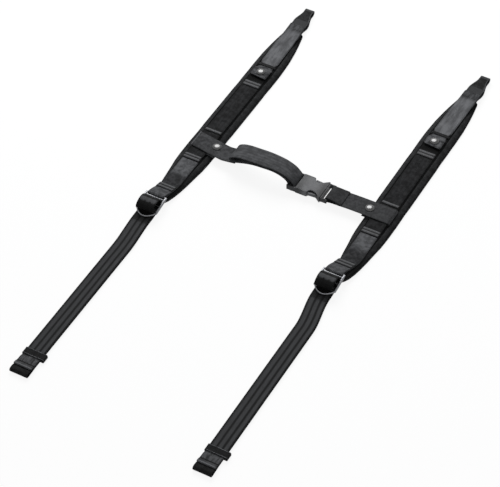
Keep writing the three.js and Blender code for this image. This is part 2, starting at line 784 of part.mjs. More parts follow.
function flap() {
  const start = FLAP_HINGE_Y - LAYER_GAP / 2;
  const points = [[start, tongueMid]];
  FLAP_RISE_SHARES.forEach(([along, up]) => {
    points.push([start - FLAP_RISE_LENGTH * along, tongueMid + (flapMid - tongueMid) * up]);
  });
  points.push([FLAP_END_Y, flapMid]);
  const outline = bothSides([
    [TONGUE_WAIST_WIDTH / 2, FLAP_HINGE_Y + CUT_OVERRUN],
    [TONGUE_WAIST_WIDTH / 2, start],
    [FLAP_END_WIDTH / 2, FLAP_SNAP_Y + SNAP_FLANGE_RADIUS],
    [FLAP_END_WIDTH / 2, FLAP_END_Y - CUT_OVERRUN],
  ].reverse());
  return tapered(webbing(points, TONGUE_THICKNESS), outline);
}

// Grey webbing sewn at the pad's lower end, its two layers closing round the frame's bar
function adjusterWebbing() {
  const bore = ADJUSTER_BAR_RADIUS + ADJUSTER_BAR_CLEARANCE;
  const out = bore + ADJUSTER_WEBBING_THICKNESS;
  const top = seatTop + 2 * ADJUSTER_WEBBING_THICKNESS + LAYER_GAP;
  const start = webbingY;
  const join = start - ADJUSTER_WEBBING_JOIN;
  const round = (radius) => arc(ADJUSTER_BAR_Y, ADJUSTER_BAR_Z, radius, Math.PI / 2, (3 * Math.PI) / 2);
  const outer = [[start, seatTop], [start, top], [join, top], ...round(out), [join, seatTop]];
  const shape = shapeOf(outer);
  const middle = seatTop + ADJUSTER_WEBBING_THICKNESS;
  const wedge = [join - ADJUSTER_WEBBING_THICKNESS, middle + LAYER_GAP / 2];
  const hole = [...round(bore), wedge];
  shape.holes.push(new THREE.Path(hole.map(([u, v]) => new THREE.Vector2(u, v))));
  return alongX(shape, -half, half);
}

// The ladder frame, drawn flat with its hinge bar on X and its length toward -Y
function adjusterFrame() {
  const outer = ADJUSTER_INNER_HALF + ADJUSTER_RAIL_WIDTH;
  const mid = ADJUSTER_RAIL_HEIGHT / 2;
  const low = -ADJUSTER_RAIL_REACH;
  const high = ADJUSTER_RAIL_OVERHANG;
  const tip = mid * RAIL_END_SHARE;
  const top = [[high * RAIL_END_SHARE, mid], [low * RAIL_STRAIGHT_SHARE, mid], [low, tip]];
  const under = [[low, -tip], [low * RAIL_STRAIGHT_SHARE, -mid], [high * RAIL_END_SHARE, -mid]];
  const rail = [[high, -tip], [high, tip], ...top, ...under];
  const right = alongX(shapeOf(rail), ADJUSTER_INNER_HALF, outer);
  const left = alongX(shapeOf(rail), -outer, -ADJUSTER_INNER_HALF);
  const bury = ADJUSTER_INNER_HALF + ADJUSTER_RAIL_WIDTH / 2;
  const bar = (radius, y) => {
    const rod = new THREE.CylinderGeometry(radius, radius, 2 * bury, 14);
    return rod.rotateZ(Math.PI / 2).translate(0, y, 0);
  };
  const hinge = bar(ADJUSTER_BAR_RADIUS, 0);
  const centre = bar(ADJUSTER_CENTRE_RADIUS, -ADJUSTER_CENTRE_AT);
  const lipHigh = ADJUSTER_LIP_HEIGHT / 2;
  const lipNear = ADJUSTER_LIP_LENGTH / 2 - ADJUSTER_LIP_AT;
  const lip = block(-bury, bury, lipNear - ADJUSTER_LIP_LENGTH, lipNear, -lipHigh, lipHigh);
  const bowY = low + ADJUSTER_CENTRE_RADIUS;
  const bow = new THREE.QuadraticBezierCurve3(
    new THREE.Vector3(-bury, bowY, 0),
    new THREE.Vector3(0, bowY - 2 * ADJUSTER_BOW, 0),
    new THREE.Vector3(bury, bowY, 0)
  );
  const section = new THREE.Shape().absarc(0, 0, ADJUSTER_CENTRE_RADIUS, 0, 2 * Math.PI);
  const lower = new THREE.ExtrudeGeometry(section, { steps: 12, curveSegments: 10, extrudePath: bow });
  return joined(right, left, hinge, lip, centre, lower);
}

// Lower strap seen from the side: the load strap runs under the frame and up through its slot
const loadMid = LOAD_BASE_Z + LOWER_THICKNESS / 2;
const tailMid = loadMid + LOWER_THICKNESS + LAYER_GAP;
const frameAt = (along) => ({
  y: ADJUSTER_BAR_Y - along,
  z: ADJUSTER_BAR_Z - (ADJUSTER_DROP * along) / ADJUSTER_REACH,
});

function rollPoint([along, up]) {
  const p = frameAt(ADJUSTER_REACH * along);
  return [p.y, p.z + ROLL_HEIGHT * up];
}

const flatY = frameAt(ADJUSTER_REACH).y - LOAD_FLAT_LEAD;

// The flat run's places along the strap, from where it comes straight up to the frame
const swaySteps = 8;
const swayEndY = ADJUSTER_BAR_Y - SWAY_END_DOWN;
const flatRun = (z) => {
  const at = (i) => [swayEndY + ((flatY - swayEndY) * i) / swaySteps, z];
  return [...Array(swaySteps + 1).keys()].map(at);
};

function loadStrap(letOut, sway) {
  const rise = smooth(LOAD_RISE_SHARES.map(rollPoint), 14);
  const points = [[LOAD_END_Y - letOut, loadMid], ...flatRun(loadMid), ...rise];
  return swayed(webbingBand(points, LOWER_THICKNESS, LOWER_WIDTH / 2), sway);
}

function tailStrap(letOut, sway) {
  const lift = TAIL_LIFT_Y - letOut;
  const end = TAIL_END_Y - letOut;
  const rise = TAIL_LIFT_SHARES.map(([along, up]) => [lift + (end - lift) * along, tailMid + TAIL_LIFT * up]);
  const points = [...smooth(TAIL_ROLL_SHARES.map(rollPoint), 38), ...flatRun(tailMid).reverse(), ...rise];
  const strap = swayed(webbingBand(points, LOWER_THICKNESS, LOWER_WIDTH / 2), sway);
  const [[hemY, hemZ], [endY, endZ]] = rise.slice(-2);
  const back = HEM_LENGTH / Math.hypot(hemY - endY, hemZ - endZ);
  const raise = HEM_THICKNESS / 2;
  const hem = [[endY + (hemY - endY) * back, endZ + (hemZ - endZ) * back + raise], [endY, endZ + raise]];
  const lip = alongX(webbing(hem, LOWER_THICKNESS + HEM_THICKNESS), -LOWER_WIDTH / 2, LOWER_WIDTH / 2);
  return joined(strap, lip);
}

// Folded end for the lower bracket: one webbing turned back and sewn to itself
function endLoop(letOut) {
  const start = LOAD_END_Y - letOut - LAYER_GAP;
  const sewn = start - END_LOOP_SEWN;
  const end = start - END_LOOP_REACH;
  const radius = END_LOOP_HEIGHT / 2;
  const inner = radius - LOWER_THICKNESS;
  const foldY = end + radius;
  const low = LOAD_BASE_Z;
  const high = low + 2 * LOWER_THICKNESS;
  const level = foldY + END_LOOP_LEVEL;
  const turn = (r) => arc(foldY, radius, r, Math.PI / 2, (3 * Math.PI) / 2);
  const upper = [[start, low], [start, high], [sewn, high], [level, END_LOOP_HEIGHT]];
  const shape = shapeOf([...upper, ...turn(radius), [level, 0], [sewn, low]]);
  const seam = [sewn - LOWER_THICKNESS, low + LOWER_THICKNESS];
  const hole = [[level, radius + inner], ...turn(inner), [level, LOWER_THICKNESS], seam];
  shape.holes.push(new THREE.Path(hole.map(([u, v]) => new THREE.Vector2(u, v))));
  return alongX(shape, -LOWER_WIDTH / 2, LOWER_WIDTH / 2);
}

// Sliding keeper: a band round both layers, its two edges rolled over on top
function keeper(letOut) {
  const from = KEEPER_Y - KEEPER_LENGTH / 2 - letOut;
  const to = from + KEEPER_LENGTH;
  const left = -LOWER_WIDTH / 2 - KEEPER_SIDE_CLEARANCE;
  const right = LOWER_WIDTH / 2 + KEEPER_SIDE_CLEARANCE + KEEPER_OVERHANG;
  const low = KEEPER_WALL;
  const high = tailMid + LOWER_THICKNESS / 2 + LAYER_GAP;
  const wall = KEEPER_WALL;
  const top = high + wall;
  const shape = shapeOf([[left - wall, 0], [right + wall, 0], [right + wall, top], [left - wall, top]]);
  const hole = [[left, low], [left, high], [right, high], [right, low]];
  shape.holes.push(new THREE.Path(hole.map(([u, v]) => new THREE.Vector2(u, v))));
  const band = alongY(shape, from, to);
  const roll = (y) => {
    const rod = new THREE.CylinderGeometry(KEEPER_ROLL, KEEPER_ROLL, right - left + 2 * wall, 10);
    return rod.rotateZ(Math.PI / 2).translate((left + right) / 2, y, high + wall);
  };
  return joined(band, roll(from + KEEPER_ROLL), roll(to - KEEPER_ROLL));
}

// Skews the left tabs, whose outer ends lie a little higher up the strap
function skewed(geometry, middle) {
  const at = geometry.attributes.position;
  const from = LEFT_SKEW_IN - STRAP_SPACING / 2;
  const reach = LEFT_SKEW_IN + half;
  for (let i = 0; i < at.count; i += 1) {
    const share = Math.max((from - middle - at.getX(i)) / reach, 0);
    at.setY(i, at.getY(i) + LEFT_SKEW * share);
  }
  return geometry;
}

// One shoulder strap in its own frame: X = 0 is its middle line
const webbingY = RIB_D_Y + RIB_LENGTH / 2 - LAYER_GAP;
const panelEndY = webbingY + LAYER_GAP;
const panelTopY = BAND_END_Y - LAYER_GAP;
const webbingTop = seatTop + 2 * ADJUSTER_WEBBING_THICKNESS + LAYER_GAP;
const returnMid = PAD_SEAT_Z - PAD_DIP + LAYER_GAP + TAB_THICKNESS / 2;
const tabStudZ = returnMid + TAB_THICKNESS / 2 + LAYER_GAP;
const tabRingZ = tabStudZ + SNAP_FLANGE_THICKNESS + LAYER_GAP;
const tabMid = tabRingZ + SNAP_RING_HEIGHT + LAYER_GAP + TAB_THICKNESS / 2;
const tabTop = tabMid + TAB_THICKNESS / 2;

// The cross strap's end that goes back under the band, with the fold at the band's outer edge
function returnTab(inner) {
  const radius = (tabMid - returnMid) / 2;
  const edge = -inner * half;
  const foldX = edge - inner * TAB_FOLD_OUT;
  const turn = arc(0, returnMid + radius, radius, -Math.PI / 2, -(3 * Math.PI) / 2);
  const points = [
    [inner * RETURN_TAB_IN, returnMid],
    ...turn.map(([u, v]) => [foldX + inner * u, v]),
    [edge - (inner * LAYER_GAP) / 2, tabMid],
  ];
  return webbing(points, TAB_THICKNESS);
}

function shoulderStrap(side, inner, drop, letOut, sway) {
  const strap = new THREE.Group();
  strap.position.set((-inner * STRAP_SPACING) / 2, -drop, 0);
  const add = (name, geometry, look) => place(strap, `${side}_${name}`, geometry, look);
  add("shoulder_pad", splayed(padBody(), inner), LOOKS.padFabric);
  add("pad_binding", splayed(padBinding(), inner), LOOKS.binding);
  add("centre_band", block(-half, half, BAND_END_Y, BAND_TOP_Y, seatTop, bandTop), LOOKS.satin);
  add("rib_a", rib(RIB_A_Y, RIB_LENGTH, bandTop + LAYER_GAP, 2), LOOKS.rib);
  add("rib_b", rib(RIB_B_Y, RIB_SINGLE_LENGTH, bandTop + LAYER_GAP, 1), LOOKS.rib);
  add("rib_c", rib(RIB_C_Y, RIB_LENGTH, bandTop + LAYER_GAP, 2), LOOKS.rib);
  add("rib_d", swayed(rib(RIB_D_Y, RIB_LENGTH, webbingTop + LAYER_GAP, 2), sway), LOOKS.rib);
  const panelTopZ = seatTop + PANEL_THICKNESS;
  const panel = block(-half, half, panelEndY, panelTopY, seatTop, panelTopZ);
  add("lower_panel", swayed(panel, sway), LOOKS.microfibre);
  add("top_loop", splayed(topLoop(), inner), LOOKS.blackWebbing);
  add("tongue", splayed(tongue(), inner), LOOKS.microfibre);
  add("tongue_keeper", tongueKeeper(), LOOKS.binding);
  add("flap", flap(), LOOKS.microfibre);
  add("flap_snap_stud", snapStud(0, FLAP_SNAP_Y, studZ), LOOKS.steel);
  add("flap_snap_ring", snapRing(0, FLAP_SNAP_Y, ringZ), LOOKS.steel);
  add("flap_snap_cap", snapCap(0, FLAP_SNAP_Y, flapLow + TONGUE_THICKNESS + LAYER_GAP), LOOKS.cap);
  add("adjuster_webbing", swayed(adjusterWebbing(), sway), LOOKS.webbing);
  const frame = add("adjuster_frame", adjusterFrame(), LOOKS.frame);
  frame.position.set(-sway, ADJUSTER_BAR_Y, ADJUSTER_BAR_Z);
  frame.rotation.x = Math.atan2(ADJUSTER_DROP, ADJUSTER_REACH);
  add("load_strap", loadStrap(letOut, sway), LOOKS.strap);
  add("tail_strap", tailStrap(letOut, sway), LOOKS.strap);
  add("end_loop", endLoop(letOut), LOOKS.blackWebbing);
  add("keeper_loop", keeper(letOut), LOOKS.binding);
  const crossY = CROSS_Y + drop;
  const tab = alongY(returnTab(inner), crossY - CROSS_WIDTH / 2, crossY + CROSS_WIDTH / 2);
  if (side === "left") {
    add("return_tab", skewed(tab, -STRAP_SPACING / 2), LOOKS.microfibre);
  } else {
    add("return_tab", tab, LOOKS.darkMicrofibre);
  }
  const snapY = crossY + (side === "left" ? LEFT_SNAP_UP : 0);
  add("return_snap_stud", snapStud(inner * CROSS_SNAP_IN, snapY, tabStudZ), LOOKS.steel);
  group.add(strap);
}

shoulderStrap("left", 1, 0, 0, LEFT_SWAY);
shoulderStrap("right", -1, RIGHT_STRAP_DROP, RIGHT_STRAP_LET_OUT, RIGHT_SWAY);

// Cross strap, drawn in X and Z and as wide as its webbing
const barZ = BUCKLE_LOW_Z + BUCKLE_HEIGHT / 2;
const flangeX = SOCKET_MOUTH_X + LAYER_GAP;
const slotX = flangeX + PLUG_FLANGE_THICKNESS;
const plugEndX = PLUG_BAR_X + PLUG_BAR_RADIUS;

// Cross strap pieces, narrowed between two places along X
function acrossStrap(shape, pinchFrom, pinchTo) {
  const piece = alongY(shape, CROSS_Y - CROSS_WIDTH / 2, CROSS_Y + CROSS_WIDTH / 2);
  const at = piece.attributes.position;
  for (let i = 0; i < at.count; i += 1) {
    const share = THREE.MathUtils.clamp((at.getX(i) - pinchFrom) / (pinchTo - pinchFrom), 0, 1);
    const narrow = 1 + (PINCHED_WIDTH / CROSS_WIDTH - 1) * share;
    at.setY(i, CROSS_Y + (at.getY(i) - CROSS_Y) * narrow);
  }
  return piece;
}

const tabStart = (inner) => {
  const edge = (-inner * STRAP_SPACING) / 2 - inner * half;
  return [edge + (inner * LAYER_GAP) / 2, tabMid];
};
const tabLine = (inner, endX, rise, shares) => {
  const levelX = -inner * TAB_LEVEL_X;
  return shares.map(([along, up]) => [levelX + (endX - levelX) * along, tabMid + rise * up]);
};
const leftLine = tabLine(1, TAB_LEFT_END_X, TAB_LEFT_RISE, TAB_LEFT_SHARES);
const rightLine = tabLine(-1, TAB_RIGHT_END_X, -TAB_RIGHT_FALL, TAB_RIGHT_SHARES);

function crossTab(inner, line) {
  return webbing([tabStart(inner), ...smooth(line, 14)], TAB_THICKNESS);
}

function tabSnap(side, inner) {
  const x = (-inner * STRAP_SPACING) / 2 + inner * CROSS_SNAP_IN;
  const y = CROSS_Y + (side === "left" ? LEFT_SNAP_UP : 0);
  place(group, `cross_snap_ring_${side}`, snapRing(x, y, tabRingZ), LOOKS.steel);
  place(group, `cross_snap_cap_${side}`, snapCap(x, y, tabTop + LAYER_GAP), LOOKS.cap);
}

// The arched loop: one ring of webbing from the socket's bar back to the tab's end
function crossLoop() {
  const wrap = SOCKET_BAR_RADIUS + LAYER_GAP + LOOP_THICKNESS / 2;
  const arch = LOOP_ARCH_SHARES.map(([along, up]) => [
    LOOP_FAR_X + (SOCKET_BAR_X - LOOP_FAR_X) * along,
    barZ + (LOOP_TOP_Z - barZ) * up,
  ]);
  const under = arc(SOCKET_BAR_X, barZ, wrap, -Math.PI, 0, 6);
  return webbingRing([...under, ...arch], LOOP_THICKNESS, 110);
}

// The short fold: round the plug's bar and back over the tab to its stitching
function crossFold() {
  const wrap = PLUG_BAR_RADIUS + LAYER_GAP + LOOP_THICKNESS / 2;
  const [endX, endZ] = rightLine[rightLine.length - 1];
  const back = FOLD_RISE_SHARES.map(([along, up]) => [
    PLUG_BAR_X + (FOLD_SEWN_X - PLUG_BAR_X) * along,
    barZ + (FOLD_TOP_Z - barZ) * up,
  ]);
  const under = arc(PLUG_BAR_X, barZ, wrap, -Math.PI / 2, -Math.PI, 5);
  const lead = [[endX - LAYER_GAP, endZ], [(endX + PLUG_BAR_X) / 2, barZ - wrap * FOLD_LEAD_SHARE]];
  return webbing(smooth([...lead, ...under, ...back], 40), LOOP_THICKNESS);
}

const leftAcross = (shape) => acrossStrap(shape, LOOP_PINCH_FROM_X, LOOP_PINCH_TO_X);
const rightAcross = (shape) => acrossStrap(shape, FOLD_PINCH_FROM_X, FOLD_PINCH_TO_X);
place(group, "cross_tab_left", skewed(leftAcross(crossTab(1, leftLine)), 0), LOOKS.microfibre);
place(group, "cross_loop_left", leftAcross(crossLoop()), LOOKS.blackWebbing);
tabSnap("left", 1);
place(group, "cross_tab_right", rightAcross(crossTab(-1, rightLine)), LOOKS.blackWebbing);
place(group, "cross_fold_right", rightAcross(crossFold()), LOOKS.blackWebbing);
tabSnap("right", -1);

// Buckle, drawn about its own middle line and moved to the cross strap
const buckleHalf = BUCKLE_WIDTH / 2;
const cavityHigh = BUCKLE_HEIGHT - CAVITY_LOW;
const barMid = BUCKLE_HEIGHT / 2;
const barAlongY = (radius, reach, x) => {
  return new THREE.CylinderGeometry(radius, radius, 2 * reach, 16).translate(x, 0, barMid);
};

function socketBody() {
  const outline = SOCKET_OUTLINE_SHARES.map(([along, wide]) => {
    const widest = (along < WAIST_AT_SHARE ? BUCKLE_WIDTH : BUCKLE_MOUTH_WIDTH) / 2;
    const x = SOCKET_BODY_X + (SOCKET_MOUTH_X - SOCKET_BODY_X) * along;
    return [x, WAIST_HALF + (widest - WAIST_HALF) * wide];
  });
  const under = [...outline].reverse().map(([x, y]) => [x, -y]);
  const body = alongZ(shapeOf([...outline, ...under]), 0, BUCKLE_HEIGHT);
  const cavityEnd = SOCKET_MOUTH_X + CUT_OVERRUN;
  const cavity = block(CAVITY_START_X, cavityEnd, -CAVITY_HALF, CAVITY_HALF, CAVITY_LOW, cavityHigh);
  const railIn = buckleHalf - SOCKET_RAIL_WIDTH;
  const railEnd = SOCKET_BODY_X + SOCKET_RAIL_WIDTH;
  const back = block(BUCKLE_LEFT_X, railEnd, railIn, buckleHalf, SOCKET_RAIL_LOW, SOCKET_RAIL_HIGH);
  const front = block(BUCKLE_LEFT_X, railEnd, -buckleHalf, -railIn, SOCKET_RAIL_LOW, SOCKET_RAIL_HIGH);
  const bar = barAlongY(SOCKET_BAR_RADIUS, railIn + SOCKET_RAIL_WIDTH / 2, SOCKET_BAR_X);
  return geometryOf(solidOf(cut(body, cavity)).add(solidOf(joined(back, front, bar))));
}

function plugBody() {
  const railLow = PLUG_FLANGE_LOW + SOCKET_RAIL_LOW / 2;
  const railHigh = BUCKLE_HEIGHT - railLow;
  const flangeHigh = BUCKLE_HEIGHT - PLUG_FLANGE_LOW;
  const plugHalf = PLUG_WIDTH / 2;
  const railIn = plugHalf - SOCKET_RAIL_WIDTH;
  const bury = PLUG_FLANGE_THICKNESS / 2;
  const flange = block(flangeX, slotX, -plugHalf, plugHalf, PLUG_FLANGE_LOW, flangeHigh);
  const back = block(slotX - bury, plugEndX, railIn, plugHalf, railLow, railHigh);
  const front = block(slotX - bury, plugEndX, -plugHalf, -railIn, railLow, railHigh);
  const bar = barAlongY(PLUG_BAR_RADIUS, railIn + SOCKET_RAIL_WIDTH / 2, PLUG_BAR_X);
  const guideLow = CAVITY_LOW + PLUG_GUIDE_CLEARANCE;
  const guideHigh = BUCKLE_HEIGHT - guideLow;
  const guideX = flangeX - PLUG_GUIDE_LENGTH;
  const guide = block(guideX, flangeX + bury, -PLUG_GUIDE_HALF, PLUG_GUIDE_HALF, guideLow, guideHigh);
  return joined(flange, back, front, bar, guide);
}

// Latch arm: the sprung arm with its thumb bulge in the window
function latchArm(sign) {
  const root = flangeX - ARM_ROOT_GAP;
  const outer = ARM_BULGE_SHARES.map(([along, out]) => {
    return [root - ARM_LENGTH * along, ARM_ROOT_HALF + ARM_TIP_BULGE * out];
  });
  const inner = outer.map(([x, y]) => [x, y - ARM_WIDTH]).reverse();
  const shape = shapeOf([...outer, ...inner].map(([x, y]) => [x, sign * y]));
  return alongZ(shape, CAVITY_LOW + ARM_HEIGHT_CLEARANCE, cavityHigh - ARM_HEIGHT_CLEARANCE);
}

const buckle = new THREE.Group();
buckle.position.set(0, CROSS_Y, BUCKLE_LOW_Z);
place(buckle, "buckle_socket", socketBody(), LOOKS.plastic);
place(buckle, "buckle_plug", plugBody(), LOOKS.plastic);
place(buckle, "latch_arm_front", latchArm(-1), LOOKS.plastic);
place(buckle, "latch_arm_back", latchArm(1), LOOKS.plastic);
group.add(buckle);

export default group;
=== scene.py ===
"""Looks for a pair of padded shoulder straps joined by a cross strap with a side-release buckle."""

import math

import bmesh
import bpy
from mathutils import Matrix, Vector, noise


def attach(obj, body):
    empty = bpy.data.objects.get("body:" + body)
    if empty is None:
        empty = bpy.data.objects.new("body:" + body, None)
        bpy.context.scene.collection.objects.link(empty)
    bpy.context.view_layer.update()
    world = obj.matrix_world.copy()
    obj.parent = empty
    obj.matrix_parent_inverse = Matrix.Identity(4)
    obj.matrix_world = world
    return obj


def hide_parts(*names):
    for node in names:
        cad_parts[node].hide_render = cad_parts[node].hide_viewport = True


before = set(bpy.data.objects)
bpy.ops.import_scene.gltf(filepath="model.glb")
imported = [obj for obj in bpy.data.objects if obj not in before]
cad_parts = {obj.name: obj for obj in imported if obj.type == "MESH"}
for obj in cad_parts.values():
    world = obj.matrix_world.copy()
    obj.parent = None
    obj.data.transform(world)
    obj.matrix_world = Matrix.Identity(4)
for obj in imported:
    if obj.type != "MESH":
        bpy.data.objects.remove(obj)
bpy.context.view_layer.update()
MM = 0.001

# Camera, at the angle of the photograph
TARGET = Vector((0.00582, -0.05687, 0.0))
AZIMUTH = math.radians(28.75)
ELEVATION = math.radians(46)
DISTANCE = 3.6802
BACK = Vector((
    math.sin(AZIMUTH) * math.cos(ELEVATION),
    -math.cos(AZIMUTH) * math.cos(ELEVATION),
    math.sin(ELEVATION),
))


def linked(name, data, place=(0, 0, 0), way=None):
    """A new object in the scene, which looks along a way where told."""
    made = bpy.data.objects.new(name, data)
    bpy.context.scene.collection.objects.link(made)
    made.location = place
    if way:
        made.rotation_mode = "QUATERNION"
        made.rotation_quaternion = way.to_track_quat("-Z", "Y")
    return made


camera = linked("camera", bpy.data.cameras.new("camera"), TARGET + BACK * DISTANCE, -BACK)
camera.data.lens = 158.4
camera.data.sensor_width = 36
camera.data.clip_end = 50
bpy.context.scene.camera = camera

# The pair, in millimetres, as the solids have it: the right strap lies lower and is let out further
MIDDLE = {"left": -176, "right": 176}
INNER = {"left": 1, "right": -1}
DROP = {"left": 0, "right": 14}
LET_OUT = {"left": 0, "right": 18}
SWAY = {"left": 5, "right": 10}
PAD_TOP, PAD_LENGTH = 452, 508
# The top leans outwards by SPLAY; the lower part bends over by SWAY and comes back: from, over
SPLAY, SPLAY_FROM, SPLAY_OVER = 6, 322, 198
SWAY_FROM, SWAY_OVER, BACK_FROM, BACK_OVER = 2, 43, -93, 80
# The cross strap's left end is pulled up the pad by SKEW
CROSS_Y, SKEW, SKEW_FROM, SKEW_OVER = 101.3, 10, -128, 64
HALF_BAND, HALF_STRAP, HALF_CROSS, HALF_PINCHED = 16, 16.5, 18.5, 16.7
LEAF_THICK, LOOP_THICK, STRAP_THICK = 1.4, 1.6, 1.8
BAND_Z, PANEL_Z, RIB_FOOT = 11, 10.8, 12.0
HINGE_Y, HINGE_Z = -47, 16.5
TONGUE_KEEPER_Y, FLAP_SNAP_Y, KEEPER_Y = 339, 315, -441
SNAP_IN, LEFT_SNAP_RISE = 26, 6.5
# Each rib over the band: its place down the pad, its length and its cords
RIBS = {"a": (282, 14, 2), "b": (142, 7, 1), "c": (67.5, 13, 2)}
# The sewn channel beside the band, and the lobe outside it, as shares of the pad's half width
CHANNEL, LOBE = 0.645, 0.355
PAD_SEED = {"left": 3, "right": 8}
STRAP_SEED = {"left": 1, "right": 5}
STITCH_LENGTH, STITCH_RADIUS = 2.0, 0.22


def smoothstep(t):
    t = min(max(t, 0), 1)
    return t * t * (3 - 2 * t)


def lerp(a, b, t):
    return a + (b - a) * t


def table(rows, at):
    """Reads a table of (place, value ...) rows, straight between them."""
    if at <= rows[0][0]:
        return rows[0][1:]
    for low, high in zip(rows, rows[1:]):
        if at <= high[0]:
            t = (at - low[0]) / (high[0] - low[0])
            return tuple(lerp(a, b, t) for a, b in zip(low[1:], high[1:]))
    return rows[-1][1:]


def waver(x, y, z, scale, seed=0):
    """Soft noise from -1 to 1 at a place in millimetres."""
    return noise.noise(Vector((x / scale + seed * 7.3, y / scale - seed * 3.1, z / scale + seed)))


# Shader maths
class Socket:
    """A node's output, with the operators that its maths needs."""

    def __init__(self, finish, out):
        self.finish, self.out = finish, out

    def math(self, operation, other=None, turned=False):
        values = {0: self} if other is None else {0: self, 1: other}
        if turned:
            values = {0: other, 1: self}
        return self.finish.node("ShaderNodeMath", {"operation": operation}, values)

    def __add__(self, other):
        return self.math("ADD", other)

    __radd__ = __add__

    def __mul__(self, other):
        return self.math("MULTIPLY", other)

    __rmul__ = __mul__

    def __sub__(self, other):
        return self.math("SUBTRACT", other)

    def __rsub__(self, other):
        return self.math("SUBTRACT", other, turned=True)

    def __abs__(self):
        return self.math("ABSOLUTE")

    def wave(self, pitch):
        """A sine along this value, one turn to each pitch in millimetres."""
        return (self * (2 * math.pi / (pitch * MM))).math("SINE")

    def step(self, low, high):
        """A soft step from 0 at low to 1 at high."""
        settings = {"interpolation_type": "SMOOTHSTEP"}
        values = {"Value": self, "From Min": low, "From Max": high, "To Min": 0, "To Max": 1}
        return self.finish.node("ShaderNodeMapRange", settings, values)


class Finish:
    """A material whose surface is one Principled shader."""

    def __init__(self, name, gloss=0.5, tint=(0.97, 0.99, 1.04), **constants):
        self.tint = tint
        self.material = bpy.data.materials.new(name)
        self.material.use_nodes = True
        self.nodes = self.material.node_tree.nodes
        self.links = self.material.node_tree.links
        self.shader = self.nodes["Principled BSDF"]
        self.shader.inputs["Specular IOR Level"].default_value = gloss
        for key, value in constants.items():
            self.shader.inputs[key.replace("_", " ").title()].default_value = value

    def node(self, kind, settings=None, values=None, output=0):
        made = self.nodes.new(kind)
        for key, value in (settings or {}).items():
            setattr(made, key, value)
        for key, value in (values or {}).items():
            if isinstance(value, Socket):
                self.links.new(value.out, made.inputs[key])
            else:
                made.inputs[key].default_value = value
        return Socket(self, made.outputs[output])

    def mix(self, share, *tones):
        """Mixes two tones, each a socket or a value in the finish's tint."""
        values = {0: share}
        for key, tone in zip((6, 7), tones):
            values[key] = tone if isinstance(tone, Socket) else (*(tone * part for part in self.tint), 1)
        return self.node("ShaderNodeMix", {"data_type": "RGBA"}, values, output=2)

    def place(self):
        return self.node("ShaderNodeTexCoord", output="Object")

    def lay(self):
        """Across the piece, along it, and the share of its half width, from its own attribute."""
        vector = self.node("ShaderNodeAttribute", {"attribute_name": "lay"}, output="Vector")
        return [self.node("ShaderNodeSeparateXYZ", values={0: vector}, output=i) for i in range(3)]

    def cloud(self, scale, detail=3, rough=0.55, at=None):
        values = {"Vector": at or self.place(), "Scale": scale, "Detail": detail, "Roughness": rough}
        return self.node("ShaderNodeTexNoise", values=values)

    def drawn_out(self, *scale):
        """Object places squeezed on each axis, so that a cloud on them becomes streaks."""
        return self.node("ShaderNodeMapping", values={"Vector": self.place(), "Scale": scale})

    def zones(self, tone, along, rows):
        """Takes a tone to others between places along the piece: from, to, softness, value, how much."""
        for start, end, soft, value, much in rows:
            begun = along.step((start - soft) * MM, start * MM)
            ended = along.step(end * MM, (end + soft) * MM)
            tone = self.mix(begun * (1 - ended) * much, tone, value)
        return tone

    def rimmed(self, tone, share, start, value, much):
        """Takes a tone to another at both edges of the piece."""
        return self.mix(abs(share).step(start, 0.98) * much, tone, value)

    def raise_by(self, height, distance, strength, under=None):
        """Relief of a distance in millimetres, on top of another relief where told."""
        values = {"Height": height, "Distance": distance * MM, "Strength": strength}
        if under:
            values["Normal"] = under
        return self.node("ShaderNodeBump", values=values)

    def coated(self, tone, rough, cloud, spread, relief):
        """Wires the colour, a roughness that a cloud spreads about rough, and the relief."""
        links = {"Base Color": tone, "Roughness": rough + cloud * spread - spread / 2, "Normal": relief}
        for key, value in links.items():
            self.links.new(value.out, self.shader.inputs[key])
        return self.material


def woven(name, dark, light, pitch=1.1, rough=0.7, edge=0.5, relief=0.25, patch=140, depth=0.35,
          lines=(), zones=(), streak=1.0):
    """Webbing and tape: a plain weave, soft blotches, darker edges and lengthwise lines."""
    finish = Finish(name, 0.08)
    across, along, share = finish.lay()
    weave = along.wave(pitch) * across.wave(2 * pitch)
    cloud = finish.cloud(patch, 4, 0.6, finish.drawn_out(1, streak, 1))
    tone = finish.mix(cloud.step(0.38, 0.62), dark, light)
    for place, width, value, much in lines:
        line = 1 - abs(share - place).step(width * 0.3, width)
        tone = finish.mix(line * much * (0.55 + cloud * 0.9), tone, value)
    tone = finish.zones(tone, along, zones)
    tone = finish.mix((1 - weave.step(-0.7, 0.5)) * depth, tone, dark * 0.4)
    tone = finish.rimmed(tone, share, 0.82, dark * 0.35, edge)
    height = weave * 0.5 + finish.cloud(1100, 2) * 0.5
    return finish.coated(tone, rough, cloud, 0.16, finish.raise_by(height, relief, 0.8))


def suede(name, dark, light, patch=150, edge=0.6, low=None, streak=1.0):
    """Microfibre: a short brushed nap with lighter and darker strokes, darker from low onwards."""
    finish = Finish(name, 0.08)
    _, along, share = finish.lay()
    blotch = finish.cloud(patch, 4, 0.62, finish.drawn_out(1, streak, 1))
    wide = finish.cloud(38, 3)
    nap = finish.cloud(900, 3, 0.65)
    tone = finish.mix((blotch * 0.7 + wide * 0.3).step(0.37, 0.63), dark, light)
    if low:
        start, end, value = low
        shade = finish.mix(blotch.step(0.4, 0.62), value * 0.5, value * 1.6)
        tone = finish.mix(along.step(start * MM, end * MM) * 0.9, tone, shade)
    tone = finish.mix(nap.step(0.4, 0.7) * 0.22, tone, dark * 0.6)
    tone = finish.rimmed(tone, share, 0.8, dark * 0.45, edge)
    return finish.coated(tone, 0.84, nap, 0.2, finish.raise_by(nap, 0.2, 0.7))


